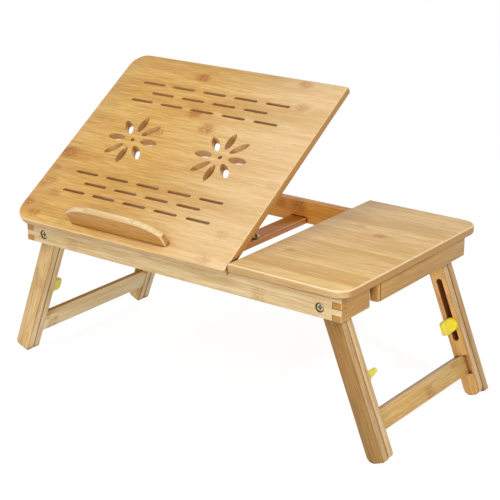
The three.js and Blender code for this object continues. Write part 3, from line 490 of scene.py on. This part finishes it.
# Where a surface counts as a sawn end or a planed edge, and where it lies on an arris that gets a painted
# highlight or painted shade: shares of its normal along one of the board's own directions. An arris has a
# pair on the edge's side and a pair on the face's.
SAWN_END = (0.8, 0.97)
PLANED_EDGE = (0.45, 0.25)
HIGHLIT_ARRIS = ((0.3, 0.6), (0.97, 0.85))
SHADED_ARRIS = ((0.25, 0.5), (0.97, 0.85))
LOWER_ARRIS = ((-0.25, -0.5), (-0.97, -0.85))
# A knuckle's half length as a share of the common length, its length as a multiple of its width, the share of
# it that has its full strength, and that share of a stain
KNUCKLE_HALF = 0.625
KNUCKLE_SHAPE = 1.5
KNUCKLE_CORE = 0.28
STAIN_CORE = 0.55
# Depth of the figure's relief under the lacquer
FIGURE_RELIEF = 0.2 * MM


def bamboo(
    name, tone, turn, strewn=0.6, strength=1.0, place=(0, 0, 0), marks=(), stains=(), tone_end=None,
    tone_span=(0, 1), fade=1.0, edge=None, edge_span=None, top=False, arris=0.6, crease_shade=1.0,
):
    """Laminated bamboo under satin lacquer: fine straight fibres, mottled knuckles and a soft sheen.

    turn lays the grain along the figure's X, and place slides the figure, so that no two boards look alike.
    The tone turns into tone_end over tone_span, where the figure keeps the share fade of its strength.
    marks are knuckles and stains are darker patches seen in the photo, as places on the figure in
    millimetres, and strewn is how strong the knuckles in every strip are. edge is the tone of the planed
    edges, from nothing to full over edge_span, a pair of depths in the board; on the ledge, the left legs and
    the stretchers it is painted light or painted shade. top marks a board whose lower arris gets painted shade.
    arris is how strong the painted highlight on the arrises is, on a top only the upper ones, or below 0 how
    dark the painted shade on them is. crease_shade is how much painted shade the board gets in its joints and
    creases.
    """
    look = bpy.context.scene.stand_bamboo
    material, tree, output = new_material(name)
    coordinates = add(tree, "ShaderNodeTexCoord", take=None).outputs
    laid = add(
        tree, "ShaderNodeMapping",
        {"Vector": coordinates["Object"], "Location": place, "Rotation": turn, "Scale": (MM_PER_METRE,) * 3},
    )
    facing = add(tree, "ShaderNodeMapping", {"Vector": coordinates["Normal"], "Rotation": turn})
    signed = add(tree, "ShaderNodeSeparateXYZ", {0: facing}, take=None).outputs
    facing = add(tree, "ShaderNodeVectorMath", {0: facing}, operation="ABSOLUTE")
    facing = add(tree, "ShaderNodeSeparateXYZ", {0: facing}, take=None).outputs
    outward = signed[2] if top else facing[2]

    def arris_share(edge_side, face_side, most):
        """How much of a surface belongs to the arris between an edge of the board and its face."""
        off_edge = {0: outward, 1: edge_side[0], 2: edge_side[1]}
        off_edge = add(tree, "ShaderNodeMapRange", off_edge, **SMOOTH)
        off_face = {0: outward, 1: face_side[0], 2: face_side[1], 4: most}
        off_face = add(tree, "ShaderNodeMapRange", off_face, **SMOOTH)
        return add(tree, "ShaderNodeMath", {0: off_edge, 1: off_face}, operation="MULTIPLY")

    def spots(places, core):
        """Ellipses on the board: place, half length, half width and strength, full over the share core."""
        strongest = 0.0
        for spot_along, spot_across, half_length, half_width, most in places:
            centre, scale = (spot_along, spot_across, 0), (1 / half_length, 1 / half_width, 0)
            away = add(tree, "ShaderNodeVectorMath", {0: laid, 1: centre}, operation="SUBTRACT")
            away = add(tree, "ShaderNodeVectorMath", {0: away, 1: scale}, operation="MULTIPLY")
            away = add(tree, "ShaderNodeVectorMath", {0: away}, take="Value", operation="LENGTH")
            spot = add(tree, "ShaderNodeMapRange", {0: away, 1: 1.0, 2: core, 4: most}, **SMOOTH)
            strongest = add(tree, "ShaderNodeMath", {0: spot, 1: strongest}, operation="MAXIMUM")
        return strongest

    sawn = add(tree, "ShaderNodeMapRange", {0: facing[0], 1: SAWN_END[0], 2: SAWN_END[1]}, **SMOOTH)
    # Painted highlight on the arrises, and painted shade on the lower ones of a top or on all of them
    sanded = arris_share(*HIGHLIT_ARRIS, max(arris, 0))
    pooled = 0.0
    if top:
        pooled = arris_share(*LOWER_ARRIS, 1.0)
    elif arris < 0:
        pooled = arris_share(*SHADED_ARRIS, -arris)

    tone = with_alpha(tone)
    parts = add(tree, "ShaderNodeSeparateXYZ", {0: laid}, take=None).outputs
    if tone_end is not None:
        ends = {0: parts[0], 1: tone_span[0], 2: tone_span[1]}
        share = add(tree, "ShaderNodeMapRange", ends, **SMOOTH)
        tone = add(tree, "ShaderNodeMix", {0: share, 6: tone, 7: with_alpha(tone_end)}, **COLOURS)
        strength = add(tree, "ShaderNodeMapRange", {**ends, 3: strength, 4: strength * fade}, **SMOOTH)
    if edge is not None:
        ends = {0: facing[2], 1: PLANED_EDGE[0], 2: PLANED_EDGE[1]}
        planed = add(tree, "ShaderNodeMapRange", ends, **SMOOTH)
        if edge_span:
            ends = {0: parts[2], 1: edge_span[0], 2: edge_span[1]}
            depth = add(tree, "ShaderNodeMapRange", ends, **SMOOTH)
            planed = add(tree, "ShaderNodeMath", {0: planed, 1: depth}, operation="MULTIPLY")
        tone = add(tree, "ShaderNodeMix", {0: planed, 6: tone, 7: with_alpha(edge)}, **COLOURS)

    half = look.knuckle_length * MM_PER_METRE * KNUCKLE_HALF
    knuckles = [
        (mark_along, mark_across, half * size, half * size / KNUCKLE_SHAPE, most)
        for mark_along, mark_across, most, size in marks
    ]
    figure = add(
        tree, "ShaderNodeGroup",
        {
            "Vector": laid, "Tone": tone, "End grain": sawn, "Strewn knuckles": strewn, "Strength": strength,
            "Placed knuckles": spots(knuckles, KNUCKLE_CORE), "Stains": spots(stains, STAIN_CORE),
            "Arris": sanded, "Lower arris": pooled,
        },
        take=None, node_tree=figure_group(),
    ).outputs
    bump = add(
        tree, "ShaderNodeBump", {"Height": figure["Height"], "Strength": 0.12, "Distance": FIGURE_RELIEF}
    )
    colour = figure["Color"]
    # Painted shade: joints, creases and recesses darken where ambient occlusion finds them
    if crease_shade:
        opening = add(
            tree, "ShaderNodeAmbientOcclusion", {"Distance": look.crease_shade_reach}, take="AO", samples=6
        )
        share = add(tree, "ShaderNodeMapRange", {0: opening, 1: 0.85, 2: 0.3, 4: crease_shade}, **SMOOTH)
        colour = add(
            tree, "ShaderNodeMix", {0: share, 6: colour, 7: with_alpha(look.crease_shade_colour)}, blend_type="MULTIPLY",
            **COLOURS,
        )
    surface = add(
        tree, "ShaderNodeBsdfPrincipled",
        {
            "Base Color": colour, "Roughness": figure["Roughness"], "Normal": bump,
            "IOR": 1.5, "Specular IOR Level": 0.3, "Coat Weight": 0.08, "Coat Roughness": 0.28,
        },
    )
    tree.links.new(surface, output.inputs["Surface"])
    return material


# Skin of the knobs: sizes of its grain and its clouds in millimetres, its relief, and how deep light goes in
PEEL_GRAIN = 1.1
PEEL_CLOUD = 8.3
PEEL_RELIEF = 0.1 * MM
PLASTIC_DEPTH = 1.5 * MM


def moulded_plastic():
    """Injection-moulded ABS in bright yellow: even colour, a faint orange-peel skin and soft highlights."""
    look = bpy.context.scene.stand_hardware
    material, tree, output = new_material("ABS plastic, moulded, yellow")
    place = add(tree, "ShaderNodeTexCoord", take="Object")
    skin, cloud = (
        add(tree, "ShaderNodeTexNoise", {"Vector": place, "Scale": MM_PER_METRE / size, "Detail": detail})
        for size, detail in ((PEEL_GRAIN, 2.0), (PEEL_CLOUD, 1.0))
    )
    deeper = tuple(channel * 0.86 for channel in look.knob)
    share = add(tree, "ShaderNodeMapRange", {0: cloud, 1: 0.3, 2: 0.7}, **SMOOTH)
    colour = add(
        tree, "ShaderNodeMix", {0: share, 6: with_alpha(look.knob), 7: with_alpha(deeper)}, **COLOURS
    )
    bump = add(tree, "ShaderNodeBump", {"Height": skin, "Strength": 0.08, "Distance": PEEL_RELIEF})
    surface = add(
        tree, "ShaderNodeBsdfPrincipled",
        {
            "Base Color": colour, "Roughness": 0.34, "IOR": 1.53, "Normal": bump,
            "Subsurface Weight": 0.12, "Subsurface Radius": (1.0, 0.8, 0.2),
            "Subsurface Scale": PLASTIC_DEPTH,
        },
    )
    tree.links.new(surface, output.inputs["Surface"])
    return material


# How far into a recess of the metal the painted shade reaches, and the depth of the plate's fine marks
RECESS_SHADE_REACH = 3 * MM
PLATE_RELIEF = 0.05 * MM


def plated_metal(name, colour, roughness, wear_size):
    """Turned or pressed steel under a thin plate: grey, with a faint cloud that breaks up its highlights.

    A recess in it is darker: painted shade, found by ambient occlusion. wear_size is the size of the
    cloud in millimetres.
    """
    material, tree, output = new_material(name)
    place = add(tree, "ShaderNodeTexCoord", take="Object")
    cloud = add(
        tree, "ShaderNodeTexNoise",
        {"Vector": place, "Scale": MM_PER_METRE / wear_size, "Detail": 4.0, "Roughness": 0.6},
    )
    dull = tuple(channel * 0.7 for channel in colour)
    share = add(tree, "ShaderNodeMapRange", {0: cloud, 1: 0.35, 2: 0.75}, **SMOOTH)
    tone = add(tree, "ShaderNodeMix", {0: share, 6: with_alpha(colour), 7: with_alpha(dull)}, **COLOURS)
    # Painted shade in the recesses
    opening = add(tree, "ShaderNodeAmbientOcclusion", {"Distance": RECESS_SHADE_REACH}, take="AO", samples=6)
    share = add(tree, "ShaderNodeMapRange", {0: opening, 1: 0.95, 2: 0.5}, **SMOOTH)
    recess_shade = with_alpha(bpy.context.scene.stand_hardware.recess_shade)
    tone = add(tree, "ShaderNodeMix", {0: share, 6: tone, 7: recess_shade}, **COLOURS)
    bump = add(tree, "ShaderNodeBump", {"Height": cloud, "Strength": 0.1, "Distance": PLATE_RELIEF})
    rough = {0: cloud, 1: 0.3, 2: 0.8, 3: roughness, 4: roughness + 0.14}
    surface = add(
        tree, "ShaderNodeBsdfPrincipled",
        {
            "Base Color": tone, "Metallic": 1.0, "Normal": bump,
            "Roughness": add(tree, "ShaderNodeMapRange", rough, **SMOOTH),
        },
    )
    tree.links.new(surface, output.inputs["Surface"])
    return material


# Directions of the grain

ALONG_X = (1, 0, 0)
ALONG_Y = (0, 1, 0)
UPWARD = (0, 0, 1)


def panel_slope():
    """The panel's depth direction at rest: the angle that it still has to fall is its tilt."""
    tilt = math.radians(-joint("panel_tilt")["range_deg"][0])
    return (0, math.cos(tilt), math.sin(tilt))


def panel_normal():
    _, level, rise = panel_slope()
    return (0, -rise, level)


def leg_direction(side):
    """A pair of legs slides along its own boards."""
    return joint(side + "_leg_extend")["axis"]


class PieceOperator(bpy.types.Operator):
    """Base of the operators that add a piece."""

    bl_options = {"REGISTER", "UNDO"}


# Ruddy knuckles on the rear board's inner face: places on its figure in millimetres, strength and size
REAR_KNUCKLES = ((163, 199, 0.9, 1.3), (135, 197, 0.6, 1.0))


class StandFrame(PieceOperator):
    """Boards of the frame, the brace across it and the drawer's runners."""

    bl_idname = "stand.frame"
    bl_label = "Frame boards"

    def execute(self, context):
        look = context.scene.stand_bamboo
        turn = grain_turn(ALONG_X, UPWARD)
        bare = bamboo("Bamboo, bored and unsealed, boards' recesses", look.hidden, turn, strewn=0.0)
        for number, end in enumerate(ENDS):
            # The rear board's ruddy tone is painted shade with warm bounced light, for its inner face under the
            # panel
            wood = bamboo(
                "Bamboo, laminated and lacquered, {} board".format(end), getattr(look, end + "_board"), turn,
                place=(37 + 130 * number, 9, 3), strewn=0.35, strength=1.4,
                marks=REAR_KNUCKLES if end == "rear" else (),
            )
            softened(end + "_board", wood, look.softened_edge, walls=(bare, turn, BOARD_MARGIN))
        wood = bamboo(
            "Bamboo, laminated and lacquered, rails", look.drawer, grain_turn(ALONG_Y, UPWARD),
            place=(20, 5, 0), strewn=0.3, strength=1.5,
        )
        for side in SIDES:
            softened(side + "_rail", wood, look.softened_edge)
        # The brace's brown is painted shade under the panel
        wood = bamboo(
            "Bamboo, laminated and lacquered, brace", look.brace, grain_turn(ALONG_Y, ALONG_X),
            place=(75, 2, 0),
        )
        softened("centre_brace", wood, look.softened_edge)
        wood = bamboo(
            "Bamboo, sawn and unsealed, runners", look.hidden, grain_turn(ALONG_X, ALONG_Y),
            place=(75, 2, 0),
        )
        for end in ENDS:
            softened("drawer_runner_" + end, wood, look.softened_edge)
        return {"FINISHED"}


def placed(spots, left, front):
    """Moves spots from the board's left and front edges to places on its figure."""
    return [(left + along, front + up, *rest) for along, up, *rest in spots]


# Knuckles and darker patches that show on a top, in millimetres from its left edge and from its front edge.
# A knuckle has a strength and a size after its place, and a patch a half length, a half width and a strength.
SHELF_KNUCKLES = ((89, 184, 1.0, 0.9), (31, 79, 0.6, 0.9), (50, 202, 0.5, 0.9))
SHELF_STAINS = ((89, 184, 34, 8, 0.35), (60, 30, 60, 9, 0.25))


class StandShelf(PieceOperator):
    """Fixed top at the drawer end."""

    bl_idname = "stand.shelf"
    bl_label = "Side shelf"

    def execute(self, context):
        look = context.scene.stand_bamboo
        low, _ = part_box("fixed_top")
        left, front = low[0] * MM_PER_METRE, low[1] * MM_PER_METRE
        wood = bamboo(
            "Bamboo ply, sanded and lacquered, side shelf", look.shelf, grain_turn(ALONG_X, ALONG_Y),
            strewn=0.0, strength=1.5, top=True, arris=0.8, edge=look.top_edge,
            marks=placed(SHELF_KNUCKLES, left, front), stains=placed(SHELF_STAINS, left, front),
        )
        softened("fixed_top", wood, look.softened_edge)
        return {"FINISHED"}


# The panel's knuckles and darker patches, given in the same way as the shelf's
PANEL_KNUCKLES = (
    (12, 116, 1.0, 1.5), (16, 68, 0.7, 1.0), (37, 52, 0.6, 1.0), (7, 29, 0.9, 1.1), (28, 14, 0.8, 1.0),
    (123, 175, 0.6, 0.9), (130, 275, 1.0, 1.2), (282, 291, 0.6, 1.1), (298, 254, 0.55, 1.0),
    (155, 216, 0.85, 1.2), (187, 194, 0.8, 1.3), (8, 60, 0.6, 0.9), (12, 90, 0.5, 0.8),
    (304, 8, 0.4, 1.1), (307, 47, 0.35, 1.0), (329, 130, 0.3, 1.0),
)
PANEL_STAINS = (
    (10, 115, 70, 13, 0.85), (5, 45, 45, 40, 0.35), (130, 275, 60, 9, 0.35), (155, 216, 45, 8, 0.3),
    (20, 180, 60, 16, 0.25),
)
# How far inside the panel's left and right edges its painted sheen starts and stops, in millimetres
PANEL_SHEEN_SPAN = (110, 10)


class StandPanel(PieceOperator):
    """Tilting panel with its slots and flowers."""

    bl_idname = "stand.panel"
    bl_label = "Tilting panel"

    def execute(self, context):
        look = context.scene.stand_bamboo
        low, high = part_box("tilt_panel")
        turn = grain_turn(ALONG_X, panel_slope())
        laid = turn.to_matrix()
        front = min((laid @ vertex.co).y for vertex in frame["nodes"]["tilt_panel"].data.vertices)
        left, right, front = (edge * MM_PER_METRE for edge in (low[0], high[0], front))
        # The paler right end, where the figure fades, is a painted sheen
        wood = bamboo(
            "Bamboo ply, sanded and lacquered, tilting panel", look.panel_left, turn, strewn=0.0,
            strength=1.8, top=True, edge=look.top_edge,
            marks=placed(PANEL_KNUCKLES, left, front), stains=placed(PANEL_STAINS, left, front),
            tone_end=look.panel_right_sheen, tone_span=(left + PANEL_SHEEN_SPAN[0], right - PANEL_SHEEN_SPAN[1]), fade=0.45,
        )
        bare = bamboo(
            "Bamboo, routed and unsealed, panel's openings", look.panel_wall, turn, strewn=0.0, crease_shade=0.55
        )
        softened("tilt_panel", wood, look.softened_edge, walls=(bare, turn, PANEL_MARGIN))
        return {"FINISHED"}


class StandLedge(PieceOperator):
    """Ledge that holds a book or a laptop on the slope."""

    bl_idname = "stand.ledge"
    bl_label = "Book ledge"

    def execute(self, context):
        look = context.scene.stand_bamboo
        # Painted shade on the ledge's face and painted light on its upper edge
        wood = bamboo(
            "Bamboo, shaped and lacquered, book ledge", look.ledge, grain_turn(ALONG_X, panel_normal()),
            strewn=0.0, strength=1.4, edge=look.pale_lit_edge,
        )
        softened("book_ledge", wood, look.softened_edge)
        return {"FINISHED"}


class StandProp(PieceOperator):
    """Prop under the panel, with its bracket and pins."""

    bl_idname = "stand.prop"
    bl_label = "Prop"

    def execute(self, context):
        look = context.scene.stand_bamboo
        hardware = context.scene.stand_hardware
        wood = bamboo(
            "Bamboo, sawn and sealed, prop", look.hidden, grain_turn(panel_slope(), ALONG_X), strewn=0.0
        )
        softened("prop_arm", wood, look.softened_edge)
        softened("prop_bracket", wood, look.softened_edge)
        steel = plated_metal("Steel, drawn bright, pins", hardware.steel, 0.22, 1.5)
        for node_name in ("prop_pin", "prop_foot_pin"):
            softened(node_name, steel, hardware.leaf_round)
        return {"FINISHED"}


# Distance of the drawer front's groove from its rounded end, and the share of it that the sanded end keeps
DRAWER_GROOVE = 7.4 * MM
DRAWER_END_SHARE = 0.45


class StandDrawer(PieceOperator):
    """Drawer front and box."""

    bl_idname = "stand.drawer"
    bl_label = "Drawer"

    def execute(self, context):
        look = context.scene.stand_bamboo
        wood = bamboo(
            "Bamboo, laminated and lacquered, drawer front", look.drawer, grain_turn(ALONG_Y, UPWARD),
            place=(150, 11, 0), strewn=0.3, strength=1.3, arris=0.2,
        )
        front = softened("drawer_front", wood, look.softened_edge)
        places = [vertex.co.y for vertex in front.data.vertices]
        groove = min(places) + DRAWER_GROOVE
        for vertex in front.data.vertices:
            if vertex.co.y < groove:
                vertex.co.y = groove - DRAWER_END_SHARE * (groove - vertex.co.y)
        box = bamboo(
            "Bamboo, sawn and sealed, drawer box", look.hidden, grain_turn(ALONG_X, UPWARD),
            place=(10, 4, 0), crease_shade=0,
        )
        for node_name in ("drawer_side_front", "drawer_side_rear"):
            softened(node_name, box, look.softened_edge)
        back = bamboo(
            "Bamboo, sawn and sealed, drawer back", look.hidden, grain_turn(ALONG_Y, UPWARD),
            place=(90, 4, 0), crease_shade=0,
        )
        softened("drawer_back", back, look.softened_edge)
        floor = bamboo(
            "Bamboo veneer, pressed, drawer floor", look.hidden, grain_turn(ALONG_X, ALONG_Y),
            place=(40, 0, 0), crease_shade=0,
        )
        softened("drawer_floor", floor, 0)
        return {"FINISHED"}


# Settings that hold the tones of the legs' faces and of their planed edges. The faces are lit and shaded
# copies of one bamboo: painted light on the left pair and the right inner boards, painted shade on the
# right outer boards.
LEG_TONES = {
    ("left", "outer"): ("legs_left_lit", "pale_lit_edge"),
    ("left", "inner"): ("legs_left_lit", "pale_lit_edge"),
    ("right", "outer"): ("legs_right_shaded", "brown_edge"),
    ("right", "inner"): ("inner_right_lit", "cream_edge"),
}
# Shares of a stretcher's thickness between which the painted shade on its planed edges ends, and the strength of
# its figure
EDGE_SHADE_DEPTHS = (0.4, 0.5)
STRETCHER_FIGURE = {"left": 0.8, "right": 1.4}


class StandLegs(PieceOperator):
    """Two pairs of legs, each of outer boards, inner boards and a stretcher."""

    bl_idname = "stand.legs"
    bl_label = "Legs"

    def execute(self, context):
        look = context.scene.stand_bamboo
        for number, side in enumerate(SIDES):
            turn = grain_turn(leg_direction(side), ALONG_X)
            # Painted shade in the slots and mortises of the legs
            bare = bamboo(
                "Bamboo, routed and stained, {} legs' openings".format(side), look.leg_wall_shade, turn,
                strewn=0.0, crease_shade=0,
            )
            for layer, shift, crease_shade in (("outer", 4, 1.0), ("inner", 9, 0.6)):
                tone, edge = LEG_TONES[side, layer]
                # A negative arris gives painted shade on the arrises, where two boards meet
                wood = bamboo(
                    "Bamboo, laminated and lacquered, {} {} legs".format(side, layer), getattr(look, tone),
                    turn, strewn=0.35, strength=1.7, place=(60 * number + 25, shift, 0),
                    edge=getattr(look, edge), arris=-0.65, crease_shade=crease_shade,
                )
                for end in ENDS:
                    softened(
                        "{}_{}_{}_leg".format(side, end, layer), wood, look.leg_round,
                        walls=(bare, turn, BOARD_MARGIN),
                    )
            turn = grain_turn(ALONG_Y, leg_direction(side))
            laid = turn.to_matrix()
            depths = [(laid @ vertex.co).z for vertex in frame["nodes"][side + "_stretcher"].data.vertices]
            rear, thickness = min(depths) * MM_PER_METRE, (max(depths) - min(depths)) * MM_PER_METRE
            # The stretchers' tones are painted light on the left one and painted shade on the right one
            wood = bamboo(
                "Bamboo, laminated and lacquered, {} stretcher".format(side),
                getattr(look, "stretcher_" + side), turn, place=(95 * number + 40, 5, 0),
                strength=STRETCHER_FIGURE[side], crease_shade=0.4, edge=look.stretcher_edge_shade,
                edge_span=(rear + EDGE_SHADE_DEPTHS[1] * thickness, rear + EDGE_SHADE_DEPTHS[0] * thickness),
            )
            softened(side + "_stretcher", wood, look.softened_edge)
        return {"FINISHED"}


# Edges of the knobs that turn by more degrees than this are rounded
KNOB_EDGE_ANGLE = 35


class StandKnobs(PieceOperator):
    """Yellow wing knobs and their studs."""

    bl_idname = "stand.knobs"
    bl_label = "Wing knobs"

    def execute(self, context):
        hardware = context.scene.stand_hardware
        plastic = moulded_plastic()
        steel = plated_metal("Steel, zinc plated, studs", hardware.zinc, 0.3, 1.2)
        for side in SIDES:
            for end in ENDS:
                name = "{}_{}_knob".format(side, end)
                softened(name, plastic, hardware.knob_round, edge_angle=KNOB_EDGE_ANGLE)
                softened(name + "_stud", steel, hardware.leaf_round)
        return {"FINISHED"}


class StandBolts(PieceOperator):
    """Pivot bolts with cross recesses, and their nuts."""

    bl_idname = "stand.bolts"
    bl_label = "Pivot bolts"

    def execute(self, context):
        hardware = context.scene.stand_hardware
        brass = plated_metal("Steel, yellow zinc plated, pivot bolts", hardware.brass, 0.2, 0.8)
        zinc = plated_metal("Steel, zinc plated, nuts", hardware.zinc, 0.26, 0.8)
        for side in SIDES:
            for end in ENDS:
                softened("pivot_bolt_{}_{}".format(side, end), brass, hardware.bolt_round)
                softened("pivot_nut_{}_{}".format(side, end), zinc, hardware.bolt_round)
        return {"FINISHED"}


class StandHinges(PieceOperator):
    """Butt hinges between the front board and the panel."""

    bl_idname = "stand.hinges"
    bl_label = "Hinges"

    def execute(self, context):
        hardware = context.scene.stand_hardware
        leaf = plated_metal("Steel, pressed and zinc plated, hinge leaves", hardware.zinc, 0.34, 2.5)
        steel = plated_metal("Steel, drawn bright, hinge pins", hardware.steel, 0.24, 1.5)
        for side in SIDES:
            softened("hinge_lower_leaf_" + side, leaf, hardware.leaf_round)
            softened("hinge_upper_leaf_" + side, leaf, hardware.leaf_round)
            softened("hinge_pin_" + side, steel, hardware.leaf_round)
        return {"FINISHED"}


# Soft boxes: name, the setting that holds the power, and size and place in metres
LAMPS = (
    ("Soft box, front left", "key_power", 1.4, (-0.5, -1.6, 2.1)),
    ("Soft box, drawer end", "fill_power", 0.25, (1.6, -0.5, 1.5)),
    ("Soft box, low front", "low_power", 1.4, (1.2, -1.9, 0.35)),
)
SENSOR_WIDTH = 36


class StandStageOperator(PieceOperator):
    """White room, floor, lamps and the photo's camera."""

    bl_idname = "stand.stage"
    bl_label = "Stage"

    def execute(self, context):
        stage = context.scene.stand_stage
        add_floor(stage)
        add_room(stage)
        for name, power, size, place in LAMPS:
            add_lamp(name, getattr(stage, power), size, place)
        add_camera(stage)
        context.scene.view_settings.view_transform = "Standard"
        return {"FINISHED"}


def light_path_is_seen(tree):
    """One where a ray comes from the camera, a mirror or glass, and zero where it only carries light."""
    path = add(tree, "ShaderNodeLightPath", take=None).outputs
    seen = {0: path["Is Camera Ray"], 1: path["Is Glossy Ray"]}
    seen = {0: add(tree, "ShaderNodeMath", seen, operation="MAXIMUM"), 1: path["Is Transmission Ray"]}
    return add(tree, "ShaderNodeMath", seen, operation="MAXIMUM")


WHITE = with_alpha(linear("#FFFFFF"))
PAPER = with_alpha(linear("#F3F3F3"))


def add_floor(stage):
    """White paper floor that keeps a faint shadow of the stand."""
    low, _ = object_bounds()
    half = stage.floor_size / 2
    mesh = bpy.data.meshes.new("floor")
    corners = [(-half, -half, low[2]), (half, -half, low[2]), (half, half, low[2]), (-half, half, low[2])]
    mesh.from_pydata(corners, [], [(0, 1, 2, 3)])
    floor = bpy.data.objects.new("floor", mesh)
    bpy.context.scene.collection.objects.link(floor)
    material, tree, output = new_material("Paper, matt white, floor")
    paper = add(
        tree, "ShaderNodeBsdfPrincipled", {"Base Color": PAPER, "Roughness": 0.85, "Specular IOR Level": 0.1}
    )
    white = add(tree, "ShaderNodeEmission", {"Color": WHITE, "Strength": stage.floor_white})
    share = {0: light_path_is_seen(tree), 1: stage.floor_glow}
    share = add(tree, "ShaderNodeMath", share, operation="MULTIPLY")
    surface = add(tree, "ShaderNodeMixShader", {0: share, 1: paper, 2: white})
    tree.links.new(surface, output.inputs["Surface"])
    mesh.materials.append(material)
    floor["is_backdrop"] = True


def add_room(stage):
    """An even white room: plain white to the eye, dimmer as a light."""
    world = bpy.data.worlds.new("White room")
    world.use_nodes = True
    tree = world.node_tree
    tree.nodes.clear()
    glow = add(tree, "ShaderNodeBackground", {"Color": WHITE, "Strength": stage.ambient})
    white = add(tree, "ShaderNodeBackground", {"Color": WHITE, "Strength": 1.0})
    mixed = add(tree, "ShaderNodeMixShader", {0: light_path_is_seen(tree), 1: glow, 2: white})
    add(tree, "ShaderNodeOutputWorld", {"Surface": mixed}, take=None)
    bpy.context.scene.world = world


def add_lamp(name, power, size, place):
    """A square soft box that faces the middle of the stand."""
    light = bpy.data.lights.new(name, "AREA")
    light.energy = power
    light.size = size
    lamp = bpy.data.objects.new(name, light)
    bpy.context.scene.collection.objects.link(lamp)
    lamp.location = place
    low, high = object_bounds()
    middle = (Vector(low) + Vector(high)) / 2
    lamp.rotation_euler = (middle - Vector(place)).to_track_quat("-Z", "Y").to_euler()


def add_camera(stage):
    """The photo's camera."""
    camera = bpy.data.objects.new("camera", bpy.data.cameras.new("camera"))
    bpy.context.scene.collection.objects.link(camera)
    level = math.cos(stage.elevation)
    away = Vector(
        (math.sin(stage.azimuth) * level, -math.cos(stage.azimuth) * level, math.sin(stage.elevation))
    )
    camera.location = Vector(stage.target) + stage.distance * away
    camera.rotation_euler = (math.pi / 2 - stage.elevation, 0, stage.azimuth)
    camera.data.lens = stage.lens
    camera.data.sensor_width = SENSOR_WIDTH
    camera.data.shift_x = stage.shift_x
    camera.data.shift_y = stage.shift_y
    camera.data.dof.use_dof = False
    bpy.context.scene.camera = camera


PIECES = (
    StandFrame, StandShelf, StandPanel, StandLedge, StandProp, StandDrawer,
    StandLegs, StandKnobs, StandBolts, StandHinges, StandStageOperator,
)


class StandSidebar(bpy.types.Panel):
    """Sidebar tab that lists the pieces and the settings."""

    bl_idname = "VIEW3D_PT_laptop_stand"
    bl_label = "Laptop stand"
    bl_space_type = "VIEW_3D"
    bl_region_type = "UI"
    bl_category = "Laptop stand"

    def draw(self, context):
        for group in (context.scene.stand_bamboo, context.scene.stand_hardware, context.scene.stand_stage):
            box = self.layout.box()
            for setting in group.bl_rna.properties.keys():
                if setting not in ("rna_type", "name"):
                    box.prop(group, setting)
        for piece in PIECES:
            self.layout.operator(piece.bl_idname)


GROUPS = {"stand_bamboo": StandBamboo, "stand_hardware": StandHardware, "stand_stage": StandStage}


def register():
    for setting, group in GROUPS.items():
        bpy.utils.register_class(group)
        setattr(bpy.types.Scene, setting, PointerProperty(type=group))
    for piece in PIECES:
        bpy.utils.register_class(piece)
    bpy.utils.register_class(StandSidebar)


def unregister():
    bpy.utils.unregister_class(StandSidebar)
    for piece in reversed(PIECES):
        bpy.utils.unregister_class(piece)
    for setting, group in GROUPS.items():
        delattr(bpy.types.Scene, setting)
        bpy.utils.unregister_class(group)


def main():
    register()
    bpy.ops.stand.frame()
    bpy.ops.stand.shelf()
    bpy.ops.stand.panel()
    bpy.ops.stand.ledge()
    bpy.ops.stand.prop()
    bpy.ops.stand.drawer()
    bpy.ops.stand.legs()
    bpy.ops.stand.knobs()
    bpy.ops.stand.bolts()
    bpy.ops.stand.hinges()
    bpy.ops.stand.stage()


if __name__ == "__main__":
    main()
